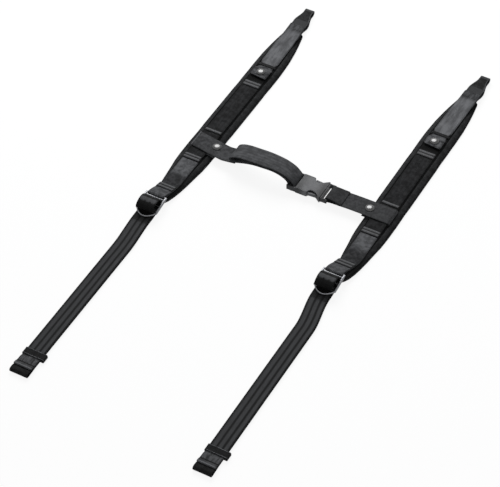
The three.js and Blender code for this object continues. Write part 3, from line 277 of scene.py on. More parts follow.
def padding(name, dark, light):
    """Padding cloth: a fine knit with soft creases, painted shade in the sewn channels and painted shadow
    beside the band.
    """
    finish = Finish(name, 0.08)
    across, _, share = finish.lay()
    values = {"Vector": finish.place(), "Scale": 950, "Randomness": 0.35}
    cells = finish.node("ShaderNodeTexVoronoi", values=values)
    cloud = finish.cloud(110, 4, 0.6)
    tone = finish.mix(cloud.step(0.33, 0.67), dark, light)
    # painted shade: dark in the sewn channels, and a painted shadow on the bed beside the band and tongue
    channel = 1 - abs(abs(share) - CHANNEL).step(0.018, 0.06)
    bed = abs(across).step(19.5 * MM, 17.5 * MM)
    tone = finish.mix((channel + bed).step(0, 1) * 0.9, tone, dark * 0.2)
    tone = finish.mix(cells.step(0.2, 0.75) * 0.35, tone, dark * 0.5)
    creases = finish.raise_by(finish.cloud(150, 3), 0.7, 0.4)
    return finish.coated(tone, 0.76, cloud, 0.16, finish.raise_by(1 - cells, 0.22, 0.7, creases))


def satin(name, dark, light, edge=0.5, zones=()):
    """Smooth band with a lengthwise thread and soft cross wrinkles."""
    finish = Finish(name, 0.04)
    across, along, share = finish.lay()
    cloud = finish.cloud(110, 4, 0.6)
    tone = finish.mix(cloud.step(0.34, 0.66), dark, light)
    # lengthwise stripes of painted sheen: darker lines between lighter lanes
    streak = (across + cloud * (3 * MM)).wave(6.5)
    tone = finish.mix(streak.step(0.1, 1) * 0.3, tone, dark * 0.5)
    tone = finish.zones(tone, along, zones)
    tone = finish.rimmed(tone, share, 0.82, dark * 0.4, edge)
    thread = across.wave(0.7) * 0.5 + 0.5
    wrinkles = finish.raise_by(cloud, 0.8, 0.35)
    return finish.coated(tone, 0.68, cloud, 0.2, finish.raise_by(thread, 0.08, 0.6, wrinkles))


def corded(name, dark, light):
    """Tight cloth over a sewn cord: a painted highlight along the top and painted shade in the grooves."""
    finish = Finish(name, 0.15)
    across, _, height = finish.lay()
    cloud = finish.cloud(190, 3)
    # painted highlight by cord height: light on the cords' tops, dark in the grooves
    tone = finish.mix(height.step(0.35, 1) * (0.35 + cloud * 1.3), dark, light)
    relief = finish.raise_by(across.wave(0.8) * 0.5 + cloud, 0.12, 0.6)
    return finish.coated(tone, 0.5, cloud, 0.2, relief)


def moulded(name, dark, light):
    """Moulded plastic: fine spark texture, lighter scuffed patches and a painted highlight over the middle.
    """
    finish = Finish(name, 0.18)
    cloud = finish.cloud(70, 4)
    spark = finish.cloud(1500, 2)
    scuff = finish.cloud(320, 4, 0.7)
    tone = finish.mix(cloud.step(0.35, 0.65), dark, light)
    along = finish.node("ShaderNodeSeparateXYZ", values={0: finish.place()})
    # a painted highlight: lighter across the middle of the buckle
    middle_highlight = along.step(20 * MM, 36 * MM) * (1 - along.step(44 * MM, 62 * MM)) * (0.5 + cloud * 0.6)
    tone = finish.mix(middle_highlight, tone, light * 2.3)
    tone = finish.mix(scuff.step(0.58, 0.72) * 0.4, tone, light * 1.6)
    return finish.coated(tone, 0.5, spark, 0.16, finish.raise_by(spark, 0.05, 0.5))


def metal(name, dark, light, rough):
    """Plated steel: a drawn grain and fine handling marks."""
    finish = Finish(name, metallic=1.0)
    grain = finish.cloud(40, 4, 0.6, finish.drawn_out(8, 60, 60))
    mark = finish.cloud(240, 3)
    tone = finish.mix(grain.step(0.3, 0.7), dark, light)
    tone = finish.mix(mark.step(0.6, 0.7) * 0.12, tone, dark * 0.55)
    return finish.coated(tone, rough, grain, 0.2, finish.raise_by(mark, 0.05, 0.4))


def lacquer(name, dark, light):
    """Glossy black cap: clear lacquer with a little unevenness."""
    finish = Finish(name, 0.6, (1, 1, 1), coat_weight=0.6, coat_roughness=0.12)
    cloud = finish.cloud(180, 3)
    tone = finish.mix(cloud.step(0.3, 0.7), dark, light)
    return finish.coated(tone, 0.26, cloud, 0.12, finish.raise_by(cloud, 0.03, 0.3))


# Each lengthwise line of the strap: its share of the half width, width, value and how much
STRAP_LINES = (
    (-0.55, 0.32, 0.05, 0.85), (0.05, 0.3, 0.05, 0.85), (0.65, 0.28, 0.055, 0.85), (-0.26, 0.14, 0.003, 0.8),
    (0.34, 0.14, 0.003, 0.8), (0.9, 0.12, 0.002, 0.85), (-0.9, 0.1, 0.002, 0.8),
)
# From the start of the roll over the frame: painted shade in the gap beside the lip, a painted highlight
# along the top, painted shade on the front where no light reaches, and darker strap just past the roll
ROLL_SHADE_AND_HIGHLIGHT = (
    (-16, 14, 2, 0.0005, 0.97), (17, 21, 3, 0.07, 0.85), (26, 60, 3, 0.0005, 0.97), (60, 76, 6, 0.003, 0.7),
)
LOOK = {
    "pad_fabric": padding("pad_fabric_knit", 0.008, 0.026),
    "binding_tape": woven("binding_tape_weave", 0.005, 0.014, pitch=0.8, relief=0.15),
    # the satin band goes black under the flap's end: painted shadow of the lifted flap
    "satin_band": satin("satin_band_cloth", 0.006, 0.022, zones=((-5, 28, 6, 0.001, 0.95),)),
    "sewn_rib": corded("sewn_rib_cloth_painted_highlight", 0.003, 0.07),
    "microfibre": suede("grey_microfibre_nap", 0.07, 0.14, low=(26, 14, 0.042), streak=0.22),
    "flap_nap": suede("flap_microfibre_nap", 0.02, 0.1, patch=120, edge=0.4),
    "panel_nap": suede("panel_microfibre_nap", 0.055, 0.115, low=(28, 50, 0.018)),
    "dark_microfibre": suede("dark_microfibre_nap", 0.022, 0.045),
    "left_tab_nap": suede("left_tab_microfibre_nap", 0.028, 0.062, edge=0.3),
    "fold_nap": suede("fold_microfibre_nap", 0.07, 0.12, edge=0.2),
    "grey_webbing": woven("grey_webbing_weave", 0.05, 0.11, pitch=2.6, rough=0.8, relief=0.5, depth=0.7),
    "black_webbing": woven("black_webbing_weave", 0.001, 0.012, pitch=1.4, depth=0.6),
    "neck_webbing": woven(
        "neck_webbing_weave", 0.005, 0.022, pitch=1.3, edge=0.0,
        lines=((-0.94, 0.12, 0.05, 0.8), (0.94, 0.14, 0.09, 0.8)),
        zones=((87, 97, 4, 0.055, 0.8), (129, 146, 3, 0.045, 0.8)),
    ),
    "right_tab_webbing": woven("right_tab_webbing_weave", 0.028, 0.052, pitch=1.3, edge=0.4),
    "right_fold_webbing": woven("right_fold_webbing_weave", 0.018, 0.036, pitch=1.3, edge=0.4),
    "cross_satin": satin("cross_webbing_satin", 0.045, 0.08, edge=0.35),
    "strap_webbing": woven(
        "strap_webbing_weave", 0.006, 0.018, pitch=1.5, edge=0.8, patch=260, lines=STRAP_LINES,
        zones=ROLL_SHADE_AND_HIGHLIGHT, streak=0.25,
    ),
    # the tail end's black band just before the hem is painted shade of a groove
    "tail_webbing": woven(
        "tail_webbing_weave", 0.02, 0.085, pitch=1.5, edge=0.6, patch=260, streak=0.2,
        zones=((23.5, 26, 1, 0.001, 0.95),),
    ),
    # the hem's lighter band near its end is a painted highlight along the hem's lip
    "hem_webbing": woven(
        "hem_webbing_weave", 0.03, 0.06, pitch=1.2, edge=0.3, zones=((5, 9, 1.2, 0.14, 0.85),)
    ),
    "keeper_weave": woven("keeper_weave", 0.004, 0.012, pitch=1.6, relief=0.4, depth=0.6),
    # the keeper's rolled edges are lighter grey: a painted highlight on the black tape's rolled edges
    "keeper_roll": woven("keeper_roll_painted_highlight", 0.05, 0.13, pitch=1.0, edge=0.0, relief=0.15),
    "black_cap": lacquer("black_cap_lacquer", 0.004, 0.009),
    "steel": metal("snap_steel", 0.18, 0.26, rough=0.36),
    "frame_metal": metal("frame_steel", 0.1, 0.22, rough=0.42),
    "grey_plastic": moulded("grey_plastic_moulding", 0.018, 0.05),
    "thread": woven("black_thread", 0.003, 0.007, pitch=0.4, relief=0.05),
}


# Making pieces
def finished(name, bm, slot, body, nodes=(), look=None, crease=40):
    """Turns a bmesh into a piece that rides on its body and stands for its nodes."""
    for face in bm.faces:
        face.smooth = True
    limit = math.radians(crease)
    for edge in bm.edges:
        edge.smooth = not (len(edge.link_faces) == 2 and edge.calc_face_angle(0) > limit)
    mesh = bpy.data.meshes.new(name)
    bm.to_mesh(mesh)
    bm.free()
    piece = linked(name, mesh)
    mesh.materials.append(LOOK[look or slot])
    if nodes:
        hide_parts(*nodes)
    if body:
        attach(piece, body)
    return piece


def lofted(rings, closed=False):
    """A grid laid through rings of (point, lay): the rings are closed, and so is the run where told."""
    if closed:
        (first, _), (last, (_, length, _)) = rings[0][0], rings[-1][0]
        length += (first - last).length / MM
        rings = rings + [[(point, (across, length, share)) for point, (across, _, share) in rings[0]]]
    rows, count = len(rings), len(rings[0])
    bm = bmesh.new()
    lay = bm.verts.layers.float_vector.new("lay")
    bmesh.ops.create_grid(bm, x_segments=count, y_segments=rows - 1, size=1)
    for vert in bm.verts:
        i = round((vert.co.x + 1) / 2 * count)
        j = round((vert.co.y + 1) / 2 * (rows - 1))
        vert.co, (across, along, share) = rings[j][i % count]
        vert[lay] = (across * MM, along * MM, share)
    bmesh.ops.remove_doubles(bm, verts=bm.verts, dist=1e-7)
    if not closed:
        ends = [e for e in bm.edges if e.is_boundary]
        bmesh.ops.holes_fill(bm, edges=ends, sides=0)
    bmesh.ops.recalc_face_normals(bm, faces=bm.faces)
    return bm


def spline(points, step, closed=False):
    """Points at about equal steps on a smooth line through the points given."""
    count = len(points)
    dense = []
    for i in range(count if closed else count - 1):
        around = [(i + k) % count if closed else min(max(i + k, 0), count - 1) for k in (-1, 0, 1, 2)]
        p0, p1, p2, p3 = (Vector(points[j]) for j in around)
        span = max((p2 - p1).length, 1e-6)
        m1 = (p2 - p0) * (span / max((p1 - p0).length + span, 1e-6))
        m2 = (p3 - p1) * (span / max((p3 - p2).length + span, 1e-6))
        parts = max(int(span / 0.4), 2)
        for k in range(parts):
            t = k / parts
            a, b = 2 * t**3 - 3 * t**2 + 1, t**3 - 2 * t**2 + t
            c, d = -2 * t**3 + 3 * t**2, t**3 - t**2
            dense.append(p1 * a + m1 * b + p2 * c + m2 * d)
    dense.append(Vector(points[0] if closed else points[-1]))
    lengths = [0]
    for a, b in zip(dense, dense[1:]):
        lengths.append(lengths[-1] + (b - a).length)
    parts = max(round(lengths[-1] / step), 3)
    made, k = [], 0
    for i in range(parts + 1):
        goal = lengths[-1] * i / parts
        while k < len(lengths) - 2 and lengths[k + 1] < goal:
            k += 1
        t = (goal - lengths[k]) / max(lengths[k + 1] - lengths[k], 1e-9)
        made.append(dense[k].lerp(dense[k + 1], min(max(t, 0), 1)))
    return made[:-1] if closed else made


FLAT = [i / 5 for i in range(-5, 6)]
STRIP_SECTION = (
    [(s * 0.955, 1.0) for s in FLAT]
    + [(0.985, 0.72), (1.0, 0.0), (0.985, -0.72)]
    + [(-s * 0.955, -1.0) for s in FLAT]
    + [(-0.985, -0.72), (-1.0, 0.0), (-0.985, 0.72)]
)


def strip(points, half, thick, put, step=2.2, up=1, crown=0.0, ripple=0.0, closed=False, seed=0, zero=None):
    """A length of webbing, tape or microfibre along a line in side view.

    half is a number or a function of the place along the line's first axis. put turns
    (across, along, height) into a point. The finish counts its length from the place zero.
    """
    line = spline(points, step, closed)
    last = len(line) - 1
    nearest = min(range(last + 1), key=lambda i: (line[i] - Vector(zero)).length) if zero else 0
    counted = sum((b - a).length for a, b in zip(line[:nearest], line[1:nearest + 1]))
    rings, run = [], 0.0
    for i, p in enumerate(line):
        before = line[i - 1] if i or closed else line[0]
        after = line[(i + 1) % len(line)] if i < last or closed else line[last]
        way = (after - before).normalized()
        out = Vector((-way.y, way.x)) * up
        if i:
            run += (p - line[i - 1]).length
        wide = half(p.x) if callable(half) else half
        ring = []
        for share, side in STRIP_SECTION:
            across = share * wide
            lift = crown * (1 - share * share)
            lift += ripple * (0.5 + 0.5 * waver(across, run, 0, 24, seed)) * (0.4 + 0.6 * abs(share))
            at = p + out * (side * thick / 2 + lift)
            ring.append((put(across, at.x, at.y), (across, run - counted, share)))
        rings.append(ring)
    return lofted(rings, closed)


def turned(profile, centre, lift, steps=40):
    """A piece turned about a vertical line, from (radius, height) pairs over a lift."""
    x, y = centre[0] * MM, centre[1] * MM
    bm = bmesh.new()
    verts = [bm.verts.new((x + r * MM, y, (lift + z) * MM)) for r, z in profile]
    edges = [bm.edges.new(pair) for pair in zip(verts, verts[1:])]
    bmesh.ops.spin(
        bm, geom=verts + edges, cent=(x, y, 0), axis=(0, 0, 1), angle=2 * math.pi, steps=steps, use_merge=True
    )
    bmesh.ops.remove_doubles(bm, verts=bm.verts, dist=1e-7)
    bmesh.ops.recalc_face_normals(bm, faces=bm.faces)
    return bm


def softened(node, width):
    """A rigid node's shape with its edges rounded."""
    flat, sharp = math.radians(4), math.radians(28)
    bm = bmesh.new()
    bm.from_mesh(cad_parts[node].data)
    bmesh.ops.remove_doubles(bm, verts=bm.verts, dist=2e-6)
    bmesh.ops.dissolve_limit(
        bm, angle_limit=flat, use_dissolve_boundaries=False, verts=bm.verts, edges=bm.edges
    )
    bmesh.ops.bevel(
        bm, geom=[e for e in bm.edges if len(e.link_faces) == 2 and e.calc_face_angle(0) > sharp],
        offset=width * MM, offset_type="OFFSET", affect="EDGES", segments=3, profile=0.5, material=-1,
        clamp_overlap=True,
    )
    bmesh.ops.triangulate(bm, faces=[f for f in bm.faces if len(f.verts) > 4])
    return bm


# One shoulder strap's own frame
def strap_put(side, splay=False, sway=False):
    """Turns (across, along, height) into a point: splay leans the top outwards, sway bends the lower part."""
    def put(across, along, height):
        x = MIDDLE[side] + across
        if splay:
            x -= INNER[side] * SPLAY * max((along - SPLAY_FROM) / SPLAY_OVER, 0) ** 1.3
        if sway:
            over = smoothstep((SWAY_FROM - along) / SWAY_OVER)
            x -= SWAY[side] * (over - smoothstep((BACK_FROM - along) / BACK_OVER))
        return Vector((x, along - DROP[side], height)) * MM

    return put


def cross_put(a, u, h):
    """The cross strap's frame: its left end is pulled up the pad a little."""
    return Vector((u, CROSS_Y + a + SKEW * max((SKEW_FROM - u) / SKEW_OVER, 0), h)) * MM


# Place down the pad: half width, underside, top, fullness of the sides
PAD_TABLE = [
    (-56, 3.6, 6.2, 8.8, 1), (-53.5, 6.6, 5.9, 9.3, 1), (-48.9, 9.6, 5.2, 9.8, 1),
    (-39.7, 13, 3.7, 10, 1), (-25.5, 16, 2, 10, 0.95), (-10.3, 18.3, 0.75, 10, 0.95),
    (10, 20.9, 0.2, 10, 1), (35.4, 23.6, 0, 10, 1), (53.2, 25.8, 0, 10, 1), (68, 26.6, 0, 10, 0.87),
    (72.8, 26.75, 0, 10, 0.87), (74.8, 26.9, 0, 8.2, 1), (106.6, 27.3, 0, 8.2, 1),
    (137.3, 26.9, 0, 8.2, 1), (139.3, 26.9, 0, 10, 0.87), (142.1, 26.9, 0, 10, 0.87),
    (157.4, 27.3, 0, 10, 1), (213, 27.3, 0, 10, 1), (264, 27.3, 0, 10, 1), (277.8, 27, 0, 10, 0.9),
    (282.3, 26.9, 0, 10, 0.86), (286.9, 27, 0, 10, 0.9), (299.6, 27.3, 0, 10, 1),
    (340.2, 27.3, 0, 10, 1), (374.8, 26.1, 0, 10, 1), (405.3, 23.1, 0, 10, 1),
    (418.5, 21.3, 0, 7, 1), (430.2, 19.5, 0, 4.8, 1), (446.9, 16.65, 0, 4.8, 1),
    (450.5, 15.6, 0, 4.55, 1), (452, 13.65, 0, 4.1, 1),
]
# Half of the pad's section: out, up, and how far the fullness counts there
PAD_SECTION = [
    (0, 1, 0), (0.2, 1, 0), (0.4, 1, 0), (0.56, 1, 0), (0.61, 0.97, 0), (0.645, 0.86, 0), (0.68, 0.96, 1),
    (0.72, 1, 1), (0.78, 0.985, 1), (0.84, 0.93, 1), (0.89, 0.85, 1), (0.93, 0.74, 1), (0.965, 0.6, 0.5),
    (0.99, 0.42, 0), (1, 0.25, 0), (0.985, 0.1, 0), (0.95, 0.02, 0), (0.88, 0, 0), (0.6, 0, 0), (0.3, 0, 0),
    (0, 0, 0),
]
# Where the lobes' cloth is free: shares out, places down the pad, lowest height, reach of a seam
FREE_OUT, FREE_ALONG = (0.66, 0.985), (-44, 440)
FREE_LOW, SEAM_REACH = 2.6, 2.2
CLOTH_FRAMES = 20
MOST_SWELL = 1.5


def puffed(pad):
    """Lets the cloth of the pad's two lobes swell over its foam, held at the seams, bed and underside."""
    held = pad.vertex_groups.new(name="held")
    lay = pad.data.attributes["lay"].data
    for vert in pad.data.vertices:
        out, y = abs(lay[vert.index].vector.z), lay[vert.index].vector.y / MM
        near_seam = min(abs(y - at) for at, _, _ in RIBS.values()) < SEAM_REACH
        on_lobe = FREE_OUT[0] < out < FREE_OUT[1] and FREE_ALONG[0] < y < FREE_ALONG[1]
        free = on_lobe and vert.co.z > FREE_LOW * MM and not near_seam
        held.add([vert.index], 0.0 if free else 1.0, "REPLACE")
    cloth = pad.modifiers.new("cloth", "CLOTH")
    cloth.settings.use_pressure = True
    cloth.settings.uniform_pressure_force = 4
    cloth.settings.vertex_group_mass = "held"
    cloth.settings.effector_weights.gravity = 0
    cloth.settings.shrink_min = -0.05
    cloth.collision_settings.use_collision = False
    for moment in range(1, CLOTH_FRAMES + 1):
        bpy.context.scene.frame_set(moment)
    swollen = pad.evaluated_get(bpy.context.evaluated_depsgraph_get())
    goals = [vert.co.copy() for vert in swollen.data.vertices]
    pad.modifiers.remove(cloth)
    pad.vertex_groups.remove(held)
    bpy.context.scene.frame_set(1)
    for vert, goal in zip(pad.data.vertices, goals):
        move = goal - vert.co
        if move.length > MOST_SWELL * MM:
            move *= MOST_SWELL * MM / move.length
        vert.co += move
    pad.data.update()


def pad_rows(count):
    """Places down the pad, from its top to its foot."""
    return [PAD_TOP - PAD_LENGTH * i / count for i in range(count + 1)]


def shoulder_pad(side):
    put, seed = strap_put(side, splay=True), PAD_SEED[side]
    rings = []
    for y in pad_rows(254):
        wide, low, high, full = table(PAD_TABLE, y)
        half = [(out, up * (1 - lobe * (1 - full))) for out, up, lobe in PAD_SECTION]
        ring = []
        for out, rise in half + [(-out, rise) for out, rise in half[-2:0:-1]]:
            x = wide * out
            z = low + (high - low) * rise
            beside = abs(out) - CHANNEL
            if rise > 0.5 and abs(out) > 0.6:
                bulge = math.sin(math.pi * min(max(beside / LOBE, 0), 1))
                z -= bulge * (0.35 + 0.35 * waver(x, y, 0, 15, seed) + 0.2 * waver(x, y, 0, 5, seed))
            if abs(beside) < 0.04:
                z -= 0.25 + 0.25 * math.sin(y * 2 * math.pi / 4.5)
            ring.append((put(x, y, z), (x, y, out)))
        rings.append(ring)
    nodes = [f"{side}_shoulder_pad"]
    pad = finished(f"{side}_pad", lofted(rings), "pad_fabric", f"{side}_strap", nodes, crease=70)
    puffed(pad)


def pad_outline():
    """The pad's edge as (across, along, underside, top) points, going round it."""
    side = []
    for y in pad_rows(240):
        wide, low, high, _ = table(PAD_TABLE, y)
        side.append((wide, y, low, high))
    head, foot = side[0], side[-1]
    low_end = [(foot[0] * (1 - k / 3), *foot[1:]) for k in range(1, 6)]
    top_end = [(-head[0] * (1 - k / 8), *head[1:]) for k in range(1, 16)]
    return side + low_end + [(-x, *rest) for x, *rest in reversed(side)] + top_end


# The binding's section at the pad's edge: out from it, and the share up it
BINDING_SECTION = [
    (0.3, 0.06), (0.3, 0.5), (0.34, 0.93), (0.62, 1.0), (1.0, 0.99), (1.35, 0.93), (1.6, 0.78), (1.7, 0.5),
    (1.6, 0.2), (1.35, 0.05), (1.0, 0.0), (0.62, 0.0),
]


def binding(side):
    put, points = strap_put(side, splay=True), pad_outline()
    rings, run = [], 0
    for i, (x, y, low, high) in enumerate(points):
        before, after = points[i - 1], points[(i + 1) % len(points)]
        way = Vector((after[0] - before[0], after[1] - before[1])).normalized()
        if i:
            run += math.hypot(x - before[0], y - before[1])
        foot = low + 0.45
        top = min(foot + 3.9, high + 0.3)
        pinch = 0.12 * (1 + math.sin(run * 2 * math.pi / 3.2))
        ring = []
        for out, up in BINDING_SECTION:
            z = lerp(foot, top, up) - pinch * up * (out < 1.2)
            place = put(x - way.y * out, y + way.x * out, z)
            ring.append((place, (out * 0.8 + up * 2, run, (up - 0.5) * 1.6)))
        rings.append(ring)
    nodes = [f"{side}_pad_binding"]
    bm = lofted(rings, closed=True)
    finished(f"{side}_binding", bm, "binding_tape", f"{side}_strap", nodes, crease=60)


def rib_shape(put, at, length, cords, base=RIB_FOOT):
    """A sewn rib: one or two cords under tight cloth, dying away at both ends."""
    pitch, tall = length / cords, 2.6
    parts, steps = 44, 12 * cords
    rings = []
    for i in range(parts + 1):
        share = -1 + 2 * i / parts
        across = share * HALF_BAND
        end = min(1, (1 - abs(share)) / 0.09) ** 0.5
        swell = 1 - 0.14 * (1 + waver(across, at, 0, 4.5, cords)) - 0.06
        ring = []
        for k in range(steps + 1):
            t = k / steps * cords
            part = t - math.floor(t)
            bump = math.sin(math.pi * part) ** 0.55 if 0 < part < 1 else 0
            valley = 0.32 if 0 < t < cords else 0.1
            z = base + tall * max(valley, bump * swell) * (0.25 + 0.75 * end)
            y = at - length / 2 + t * pitch
            ring.append((put(across, y, z), (across, y, bump * end)))
        for k in range(steps, -1, -2):
            y = at - length / 2 + k / steps * length
            ring.append((put(across, y, base), (across, y, 0)))
        rings.append(ring)
    return lofted(rings)


def tube(points, radius, sides=10, step=1.2):
    """A thin rolled edge or cord along points in millimetres, already in the strap's place."""
    line = [Vector(p) for p in points]
    dense = []
    for a, b in zip(line, line[1:]):
        parts = max(round((b - a).length / step), 1)
        dense += [a.lerp(b, k / parts) for k in range(parts)]
    dense.append(line[-1])
    rings, run = [], 0
    for i, p in enumerate(dense):
        way = (dense[min(i + 1, len(dense) - 1)] - dense[max(i - 1, 0)]).normalized()
        side = way.cross(Vector((0.02, 0.03, 1))).normalized()
        over = side.cross(way).normalized()
        if i:
            run += (p - dense[i - 1]).length
        ring = []
        for k in range(sides):
            angle = 2 * math.pi * k / sides
            spot = p + side * (radius * math.cos(angle)) + over * (radius * math.sin(angle))
            ring.append((spot * MM, (k * 0.4, run, math.sin(angle) * 0.7)))
        rings.append(ring)
    return lofted(rings)


def merged(*shapes):
    """Several shapes as one mesh."""
    whole = bmesh.new()
    whole.verts.layers.float_vector.new("lay")
    for bm in shapes:
        held = bpy.data.meshes.new("held")
        bm.to_mesh(held)
        bm.free()
        whole.from_mesh(held)
        bpy.data.meshes.remove(held)
    return whole


def row_of_stitches(put, start, end, pitch, lift):
    """Thread stitches in a straight row between two (across, along) places at one height."""
    bm = bmesh.new()
    lay = bm.verts.layers.float_vector.new("lay")
    a, b = Vector(start), Vector(end)
    way = (b - a).normalized()
    count = max(int((b - a).length / pitch), 1)
    for i in range(count + 1):
        p = a.lerp(b, i / count)
        here, there = (put(q.x, q.y, lift) / MM for q in (p, p + way))
        turn = (there - here).to_track_quat("Z", "X")
        for vert in bmesh.ops.create_uvsphere(bm, u_segments=6, v_segments=4, radius=1)["verts"]:
            x, y, z = vert.co.x * STITCH_RADIUS, vert.co.y * STITCH_RADIUS, vert.co.z * STITCH_LENGTH / 2
            vert[lay] = (x * MM, z * MM, 0)
            vert.co = (here + turn @ Vector((x, y, z))) * MM
    bmesh.ops.recalc_face_normals(bm, faces=bm.faces)
    return bm


def sewn(name, body, put, rows):
    """Rows of stitches as one piece: from, to, pitch and height of each."""
    bm = merged(*[row_of_stitches(put, *row) for row in rows])
    finished(name, bm, "binding_tape", body, look="thread")


# Lines in side view, as (along, height)
NECK = [
    (434, 5.8), (445, 5.8), (455, 5.8), (460, 5.0), (470, 1.6), (475, 0.75), (484, 0.7), (493, 0.7),
    (508, 0.7), (514.7, 0.7), (516.46, 1.05), (517.95, 2.05), (518.95, 3.54), (519.3, 5.3),
    (518.95, 7.06), (517.95, 8.55), (516.46, 9.55), (514.7, 9.9), (508, 9.9), (493, 9.9), (484, 9.9),
    (466, 9.9), (448.3, 9.9),
]
TONGUE = [
    (466, 11.35), (456, 11.35), (449, 11.3), (437, 11.15), (426, 11.05), (415, 11), (404, 11), (370, 11),
    (350, 11), (335.15, 11),
]
FLAP = [
    (334.85, 11), (331.9, 11.21), (328.1, 12.48), (324.05, 14.49), (321.35, 15.1), (313, 15.1), (308, 15.1),
    (303, 15.1),
]
ADJUSTER = [
    (-14.5, 10.95), (-19, 10.95), (-24.5, 11.0), (-36, 12.6), (-47, 14.05), (-48.7, 14.75), (-49.45, 16.5),
    (-48.7, 18.25), (-47, 18.95), (-36, 15.9), (-24.5, 12.6), (-19, 12.55), (-14.5, 12.55),
]
LOAD = [
    (-456, 2.4), (-300, 2.4), (-150, 2.4), (-102.8, 2.4), (-93, 2.53), (-86.15, 2.83), (-78.56, 4.18),
    (-71.8, 6.44), (-66.9, 9.13), (-61.5, 12.1), (-59, 15.3),
]
TAIL = [
    (-58.5, 18.35), (-59.2, 21.4), (-61.3, 24.2), (-64.6, 26.4), (-69, 27.7), (-74.1, 27.75), (-79.1, 26.5),
    (-83.7, 24.05), (-86.6, 20.8), (-87.25, 17.8), (-86.2, 15.6), (-83.9, 14.1), (-80.6, 12.7), (-79.6, 10.1),
    (-80.5, 7.15), (-83.6, 5.35), (-88, 5.0), (-94, 4.65), (-102.8, 4.5), (-150, 4.5), (-300, 4.5),
]
TAIL_FOOT = (KEEPER_Y, 4.5)
TAIL_END = [TAIL_FOOT, (-448.5, 4.5), (-456.15, 6.2), (-463.8, 6.6), (-474, 8.9)]
HEM = [(-467.6, 7.9), (-470.6, 8.6), (-474.1, 9.4)]
END_LOOP = [
    (-456.4, 2.4), (-460, 2.4), (-464, 2.35), (-472, 1.6), (-479.7, 0.95), (-483.7, 0.95), (-486.1, 1.95),
    (-487.05, 4.3), (-486.1, 6.65), (-483.7, 7.65), (-479.7, 7.65), (-472, 6.1), (-464, 4.3), (-460, 4.2),
    (-456.4, 4.2),
]
# Lines in end view, as (across, height)
TONGUE_KEEPER = [
    (-16.3, 10.95), (-15.75, 11.25), (-15.1, 12.2), (-14, 12.6), (0, 12.6), (14, 12.6), (15.1, 12.2),
    (15.75, 11.25), (16.3, 10.95),
]
KEEPER = [
    (-17.6, 3.45), (-17.6, 5.6), (-16.9, 6.3), (-15.5, 6.3), (2, 6.3), (20, 6.3), (21, 6.2), (21.6, 5.6),
    (21.6, 3.45), (21.6, 1.3), (21, 0.65), (20, 0.6), (2, 0.6), (-15.5, 0.6), (-16.9, 0.65), (-17.6, 1.3),
]
KEEPER_ROLL = [(-17.7, 5.0), (-17.4, 6.3), (-16.4, 6.9), (0, 6.9), (20.4, 6.9), (21.4, 6.3), (21.7, 5.0)]
RETURN_TAB = [
    (33, 9.2), (20, 9.2), (0, 9.2), (-16.8, 9.2), (-18.25, 9.8), (-18.85, 11.25), (-18.25, 12.7),
    (-16.8, 13.3), (-16.15, 13.3),
]
# A snap fastener's cap, ring and stud, as (radius, height)
SNAP_CAP = [
    (0, 3.2), (1.6, 3.16), (3.2, 3.02), (4.7, 2.72), (6, 2.25), (6.9, 1.72), (7.35, 1.35), (7.6, 1.28),
    (7.85, 1.15), (8, 0.85), (8, 0.4), (7.85, 0.12), (7.5, 0), (0, 0),
]
SNAP_RING = [(2.7, 0), (4.8, 0), (5, 0.25), (5, 0.95), (4.8, 1.2), (3, 1.2), (2.6, 0.9), (2.6, 0.2), (2.7, 0)]
SNAP_STUD = [
    (0, 1.9), (1.5, 1.85), (2, 1.5), (1.75, 0.95), (2.1, 0.62), (4.8, 0.55), (5, 0.3), (4.9, 0), (0, 0),
]
# A rail of the ladder frame, from the hinge down: place and half height
RAIL = [
    (1.7, 0.5), (1.4, 1.0), (0.4, 1.45), (-1.6, 1.7), (-3.6, 2.5), (-6, 3.0), (-31, 3.0), (-33.5, 2.5),
    (-35, 2.0), (-35.8, 1.4), (-36, 0.7),
]
RAIL_OUT, BAR_HALF = 18.6, 18.3


def neck_half(y):
    return 14.5 + (8.5 - 14.5) * smoothstep((y - 478) / 30)


def tongue_half(y):
    return lerp(13.6, lerp(16.5, 15.2, smoothstep((y - 404) / 44)), smoothstep((y - 342.5) / 8))


def flap_half(y):
    return lerp(16.6, 13.4, smoothstep((y - 325) / 9)) - 1.1 * max(0, (306 - y) / 3) ** 2


def snap(prefix, centre, heights, bodies, nodes):
    """A snap fastener: a domed black cap with a rim, its ring, and the stud under it."""
    (body, stud_body), (cap_z, ring_z, stud_z), (cap, ring, stud) = bodies, heights, nodes
    finished(f"{prefix}_cap", turned(SNAP_CAP, centre, cap_z, 56), "black_cap", body, [cap], crease=50)
    finished(f"{prefix}_ring", turned(SNAP_RING, centre, ring_z), "steel", body, [ring])
    finished(f"{prefix}_stud", turned(SNAP_STUD, centre, stud_z), "steel", stud_body, [stud])


def squared(count, power, wide, tall):
    """Points round a squared-off oval, as (out, up)."""
    made = []
    for k in range(count):
        angle = 2 * math.pi * (k + 0.5) / count
        out, up = math.cos(angle), math.sin(angle)
        made.append((math.copysign(abs(out) ** power, out) * wide, math.copysign(abs(up) ** 0.5, up) * tall))
    return made


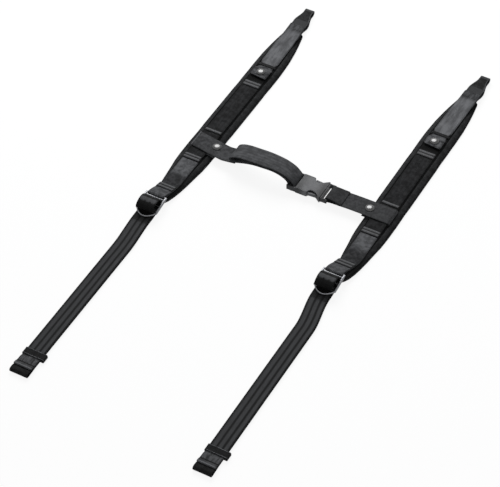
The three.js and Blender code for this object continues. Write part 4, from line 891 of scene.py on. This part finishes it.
def adjuster_frame(side):
    """The ladder frame: two flat rails, a hinge bar, a lip, a middle bar and a bowed lower bar."""
    tilt = math.atan2(8.2, 44)
    put = strap_put(side)

    def set_in(x, y, z):
        turn_y = y * math.cos(tilt) - z * math.sin(tilt)
        turn_z = y * math.sin(tilt) + z * math.cos(tilt)
        return put(x - SWAY[side], HINGE_Y + turn_y, HINGE_Z + turn_z)

    def flat_bar(sections):
        return lofted([[(set_in(x, y, z), (x, y, 0.2)) for x, y, z in section] for section in sections])

    def rod(points, radius):
        return tube([set_in(*point) / MM for point in points], radius, sides=20, step=1.6)

    def straight(y, radius):
        return rod([(-BAR_HALF, y, 0), (BAR_HALF, y, 0)], radius)

    line = []
    for a, b in zip(RAIL, RAIL[1:]):
        parts = max(round(abs(b[0] - a[0]) / 2.5), 1)
        line += [(lerp(a[0], b[0], k / parts), lerp(a[1], b[1], k / parts)) for k in range(parts)]
    line.append(RAIL[-1])
    rails = []
    for sign in (-1, 1):
        rails.append(flat_bar([
            [(sign * (RAIL_OUT + out), y, up) for out, up in squared(24, 0.45, 1.5, tall)] for y, tall in line
        ]))
    shares = [k / 24 for k in range(25)]
    bow = rod([(lerp(-BAR_HALF, BAR_HALF, t), -34.5 - 48 * t * (1 - t), 0) for t in shares], 1.5)
    edge = squared(16, 0.5, 0.75, 1.2)
    places = [lerp(-BAR_HALF, BAR_HALF, t) for t in shares[::2]]
    lip = flat_bar([[(x, -4.9 + out, up) for out, up in edge] for x in places])
    bm = merged(*rails, straight(0, 1.4), straight(-19, 1.5), bow, lip)
    finished(f"{side}_frame", bm, "frame_metal", f"{side}_lower", [f"{side}_adjuster_frame"], crease=45)


def pad_and_trim(side):
    """The pad with its binding, band, ribs and lower panel."""
    body, seed = f"{side}_strap", STRAP_SEED[side]
    plain, swayed = strap_put(side), strap_put(side, sway=True)
    shoulder_pad(side)
    binding(side)

    line = [(y, BAND_Z) for y in (322, 240, 160, 61)]
    band = strip(line, HALF_BAND, LEAF_THICK, plain, step=2.5, up=-1, crown=-0.12, ripple=0.12, seed=seed)
    finished(f"{side}_band", band, "satin_band", body, [f"{side}_centre_band"])
    sewn(f"{side}_band_stitches", body, plain, [((x, 319), (x, 64), 3.4, 11.62) for x in (-14.2, 14.2)])

    for name, rib in RIBS.items():
        bm = rib_shape(plain, *rib)
        finished(f"{side}_rib_{name}_cords", bm, "sewn_rib", body, [f"{side}_rib_{name}"], crease=65)
    bm = rib_shape(swayed, -18.5, 12, 2, base=13.2)
    finished(f"{side}_rib_d_cords", bm, "sewn_rib", body, [f"{side}_rib_d"], crease=65)

    line = [(y, PANEL_Z) for y in (60.6, 40, 20, 0, -14.1)]
    panel = strip(line, HALF_BAND, 1.0, swayed, step=2.5, up=-1, crown=-0.05, ripple=0.1, seed=seed)
    finished(f"{side}_panel", panel, "microfibre", body, [f"{side}_lower_panel"], "panel_nap")


def top_and_flap(side):
    """The webbing loop at the pad's top, the tongue with its keeper, and the flap with its snap."""
    body, flap_body, seed = f"{side}_strap", f"{side}_flap_body", STRAP_SEED[side]
    plain, splayed = strap_put(side), strap_put(side, splay=True)

    def slanted(a, u, h):
        return plain(a, u - 2 * a / 17 * smoothstep((312 - u) / 9), h)

    neck = strip(NECK, neck_half, LEAF_THICK, splayed, step=1.6)
    finished(f"{side}_neck", neck, "black_webbing", body, [f"{side}_top_loop"], "neck_webbing")
    rows = [((-13, y), (13, y), 2.8, 12.06) for y in (451, 463.5)]
    rows += [((s * 12.2, 469), (s * 11.2, 484), 3, 10.66) for s in (-1, 1)]
    rows += [((s * 14.4, 352), (s * 14.4, 404), 3, 11.74) for s in (-1, 1)]
    sewn(f"{side}_neck_stitches", body, splayed, rows)

    tongue = strip(TONGUE, tongue_half, LEAF_THICK, splayed, up=-1, ripple=0.1, seed=seed)
    finished(f"{side}_tongue_leaf", tongue, "microfibre", body, [f"{side}_tongue"])
    bar = strip(TONGUE_KEEPER, 3, 1.15, lambda a, u, h: plain(u, TONGUE_KEEPER_Y + a, h), step=1.2)
    finished(f"{side}_tongue_bar", bar, "binding_tape", body, [f"{side}_tongue_keeper"])

    flap = strip(FLAP, flap_half, LEAF_THICK, slanted, step=1.6, up=-1, seed=seed)
    finished(f"{side}_flap_leaf", flap, "microfibre", flap_body, [f"{side}_flap"], "flap_nap")
    rows = [((x, 305.5), (x, 322), 2.8, 15.86) for x in (-14.6, 14.6)]
    sewn(f"{side}_flap_stitches", flap_body, slanted, rows + [((-14.6, 305.2), (14.6, 305.2), 2.8, 15.86)])
    nodes = [f"{side}_flap_snap_{kind}" for kind in ("cap", "ring", "stud")]
    centre = (MIDDLE[side], FLAP_SNAP_Y - DROP[side])
    snap(f"{side}_flap_snap", centre, (16.1, 12.9, 12.0), (flap_body, body), nodes)


def lower_webbing(side):
    """The turn of webbing round the ladder frame, and the strap below it with its sewn end."""
    lower, plain, swayed = f"{side}_lower", strap_put(side), strap_put(side, sway=True)

    def let_out(line):
        return [(y - LET_OUT[side] if y < -400 else y, z) for y, z in line]

    turn = strip(ADJUSTER, HALF_BAND, 1.3, swayed, step=1.2, closed=True)
    finished(f"{side}_webbing", turn, "grey_webbing", f"{side}_strap", [f"{side}_adjuster_webbing"])
    adjuster_frame(side)

    line = let_out(LOAD + TAIL + [TAIL_FOOT])
    strap = strip(line, HALF_STRAP, STRAP_THICK, swayed, step=1.8, up=-1, zero=TAIL[0])
    nodes = [f"{side}_load_strap", f"{side}_tail_strap"]
    finished(f"{side}_lower_webbing", strap, "strap_webbing", lower, nodes, crease=60)
    hem = strip(let_out(HEM), 16.55, 2.7, plain, step=1.0)
    finished(f"{side}_hem", hem, "strap_webbing", lower, look="hem_webbing")
    tail = strip(let_out(TAIL_END), HALF_STRAP, STRAP_THICK, plain, step=2, up=-1)
    finished(f"{side}_tail_end", tail, "strap_webbing", lower, look="tail_webbing")
    fold = strip(let_out(END_LOOP), HALF_STRAP, STRAP_THICK, plain, step=1.4, closed=True)
    finished(f"{side}_end_fold", fold, "black_webbing", lower, [f"{side}_end_loop"])
    rows = [((-14, y), (14, y), 2.8, 5.15) for y, _ in let_out([(-458.5, 0), (-462, 0)])]
    sewn(f"{side}_end_stitches", lower, plain, rows)


def keeper(side):
    """The keeper that slides on the strap, with a rolled edge at each side."""
    body, plain, place = f"{side}_keeper", strap_put(side), KEEPER_Y - LET_OUT[side]
    loop = strip(KEEPER, 6.5, 1.15, lambda a, u, h: plain(u, place + a, h), step=1.0, closed=True)
    rolls = [tube([plain(u, place + a, h) / MM for u, h in KEEPER_ROLL], 0.7) for a in (-5.8, 5.8)]
    finished(f"{side}_keeper_band", loop, "binding_tape", body, [f"{side}_keeper_loop"], "keeper_weave")
    # the rolls take the lighter finish, a painted highlight
    finished(f"{side}_keeper_rolls", merged(*rolls), "binding_tape", body, look="keeper_roll")


def return_leaf(side):
    """The tab that is sewn under the pad's edge and comes back over it to the snap."""
    line = [(MIDDLE[side] + INNER[side] * u, z) for u, z in RETURN_TAB]
    tab = strip(line, HALF_CROSS, LEAF_THICK, cross_put, step=1.5)
    slot, look = ("microfibre", "fold_nap") if side == "left" else ("dark_microfibre", None)
    finished(f"{side}_return_leaf", tab, slot, f"{side}_strap", [f"{side}_return_tab"], look)


def cross_half(pinch_from, pinch_to):
    """Half the cross strap's width, pinched between two places to go into the buckle."""
    def half(x):
        share = min(max((x - pinch_from) / (pinch_to - pinch_from), 0), 1)
        return HALF_CROSS * lerp(1, HALF_PINCHED / HALF_CROSS, share)

    return half


# Lines of the cross strap, as (across the pair, height)
TAB_LEFT = [
    (-191.85, 13.3), (-170, 13.3), (-150, 13.3), (-138, 13.3), (-129.6, 13.57), (-120.3, 14.78),
    (-110.4, 16.37), (-101, 18.1),
]
TAB_RIGHT = [
    (191.85, 13.3), (170, 13.3), (150, 13.3), (138, 13.3), (125.2, 13.09), (113.3, 12.79), (101.4, 12),
    (93.2, 10.95), (87, 10.1),
]
LOOP = [
    (1.5, 11), (1.35, 8), (2.3, 5.2), (4.7, 3.7), (8, 3.3), (11.3, 4.2), (13.5, 6.8), (14.3, 10.3),
    (13.9, 14), (12.6, 17.4), (10.9, 20.2), (7.91, 23.15), (3.82, 27.2), (-2.03, 30.98), (-10.21, 34.22),
    (-20.15, 36.38), (-34.18, 37.53), (-50.54, 37.66), (-69.25, 36.78), (-86.78, 35.71), (-96.72, 33.95),
    (-104.32, 31.12), (-110.4, 27.47), (-112.5, 23.42), (-109.69, 19.77), (-103.73, 20.05),
    (-94.96, 22.61), (-80.94, 27.2), (-65.74, 30.71), (-49.37, 32.33), (-30.67, 32.47), (-18.98, 30.44),
    (-9.04, 26.53), (-1.44, 21.53), (1.24, 16.4),
]
FOLD = [
    (86.7, 10.1), (83.37, 9.36), (79.33, 8.67), (75.58, 8.27), (74.35, 8.46), (73.43, 9.09), (72.83, 10.03),
    (72.63, 10.9), (72.72, 12.57), (73.29, 14.8), (74.69, 16.09), (77.07, 16.8), (80.41, 17), (84.77, 16.73),
    (89.93, 16.11), (95.64, 15.29), (104, 14.48),
]


def cross_strap():
    left_half, right_half = cross_half(-48, -7), cross_half(101, 83)
    tab = strip(TAB_LEFT, left_half, LEAF_THICK, cross_put, ripple=0.12, seed=2)
    finished("cross_leaf_left", tab, "microfibre", "cross_left", ["cross_tab_left"], "left_tab_nap")
    loop = strip(LOOP, left_half, LOOP_THICK, cross_put, step=1.8, closed=True)
    finished("cross_webbing_left", loop, "black_webbing", "cross_left", ["cross_loop_left"], "cross_satin")
    tab = strip(TAB_RIGHT, right_half, LEAF_THICK, cross_put, up=-1, ripple=0.12, seed=4)
    look = "right_tab_webbing"
    finished("cross_leaf_right", tab, "black_webbing", "cross_right", ["cross_tab_right"], look)
    fold = strip(FOLD, right_half, LOOP_THICK, cross_put, step=1.3)
    look = "right_fold_webbing"
    finished("cross_webbing_right", fold, "black_webbing", "cross_right", ["cross_fold_right"], look)
    for side, y in (("left", CROSS_Y + LEFT_SNAP_RISE), ("right", CROSS_Y)):
        centre = (MIDDLE[side] + INNER[side] * SNAP_IN, y)
        bodies = (f"cross_{side}", f"{side}_strap")
        nodes = (f"cross_snap_cap_{side}", f"cross_snap_ring_{side}", f"{side}_return_snap_stud")
        snap(f"cross_snap_{side}", centre, (14.3, 11.1, 10.2), bodies, nodes)


def buckle():
    for half, body, width in (("socket", "cross_left", 0.8), ("plug", "cross_right", 0.45)):
        bm = softened(f"buckle_{half}", width)
        finished(f"buckle_{half}_body", bm, "grey_plastic", body, [f"buckle_{half}"])
    for name in ("front", "back"):
        bm = softened(f"latch_arm_{name}", 0.3)
        finished(f"latch_{name}_arm", bm, "grey_plastic", f"latch_{name}", [f"latch_arm_{name}"])


for side in ("left", "right"):
    pad_and_trim(side)
    top_and_flap(side)
    lower_webbing(side)
    keeper(side)
    return_leaf(side)
cross_strap()
buckle()


# Floor, light and backdrop
def paler(tree, pale, dull, much):
    """Mixes in the pale shader where the camera, a gloss or a clear thing sees the surface."""
    path = tree.nodes.new("ShaderNodeLightPath")
    rays = path.outputs["Is Camera Ray"]
    for other in ("Is Glossy Ray", "Is Transmission Ray"):
        either = tree.nodes.new("ShaderNodeMath")
        either.operation = "MAXIMUM"
        tree.links.new(rays, either.inputs[0])
        tree.links.new(path.outputs[other], either.inputs[1])
        rays = either.outputs[0]
    share = tree.nodes.new("ShaderNodeMath")
    share.operation = "MULTIPLY"
    share.inputs[1].default_value = much
    both = tree.nodes.new("ShaderNodeMixShader")
    tree.links.new(rays, share.inputs[0])
    tree.links.new(share.outputs[0], both.inputs[0])
    tree.links.new(dull, both.inputs[1])
    tree.links.new(pale, both.inputs[2])
    return both.outputs[0]


def paper_floor():
    mesh = bpy.data.meshes.new("floor")
    bm = bmesh.new()
    bmesh.ops.create_grid(bm, x_segments=1, y_segments=1, size=6)
    bm.to_mesh(mesh)
    bm.free()
    floor = linked("floor", mesh, (0, 0, -0.3 * MM))
    material = bpy.data.materials.new("floor_paper")
    material.use_nodes = True
    nodes = material.node_tree.nodes
    paper = nodes["Principled BSDF"]
    paints = {"Base Color": (0.93, 0.93, 0.93, 1), "Roughness": 0.9, "Specular IOR Level": 0.1}
    for key, value in paints.items():
        paper.inputs[key].default_value = value
    glow = nodes.new("ShaderNodeEmission")
    glow.inputs["Color"].default_value = (1, 1, 1, 1)
    glow.inputs["Strength"].default_value = 1
    seen = paler(material.node_tree, glow.outputs[0], paper.outputs[0], 0.88)
    material.node_tree.links.new(seen, nodes["Material Output"].inputs["Surface"])
    mesh.materials.append(material)


def studio_world():
    world = bpy.data.worlds.new("studio")
    bpy.context.scene.world = world
    world.use_nodes = True
    nodes = world.node_tree.nodes
    air = nodes["Background"]
    air.inputs["Color"].default_value = (0.97, 0.98, 1, 1)
    air.inputs["Strength"].default_value = 0.38
    white = nodes.new("ShaderNodeBackground")
    white.inputs["Color"].default_value = (1, 1, 1, 1)
    seen = paler(world.node_tree, white.outputs[0], air.outputs[0], 1)
    world.node_tree.links.new(seen, nodes["World Output"].inputs["Surface"])


def lamp(name, place, size, energy):
    """A round area lamp that looks at the middle of the floor."""
    light = bpy.data.lights.new(name, "AREA")
    light.shape = "DISK"
    light.size = size
    light.energy = energy
    piece = linked(name, light, place, -Vector(place))


paper_floor()
studio_world()
lamp("key", (-1.1, 1.95, 2.35), 2.2, 95)
lamp("fill", (1.2, -1.4, 2.2), 1.6, 9)
bpy.context.scene.view_settings.view_transform = "Standard"
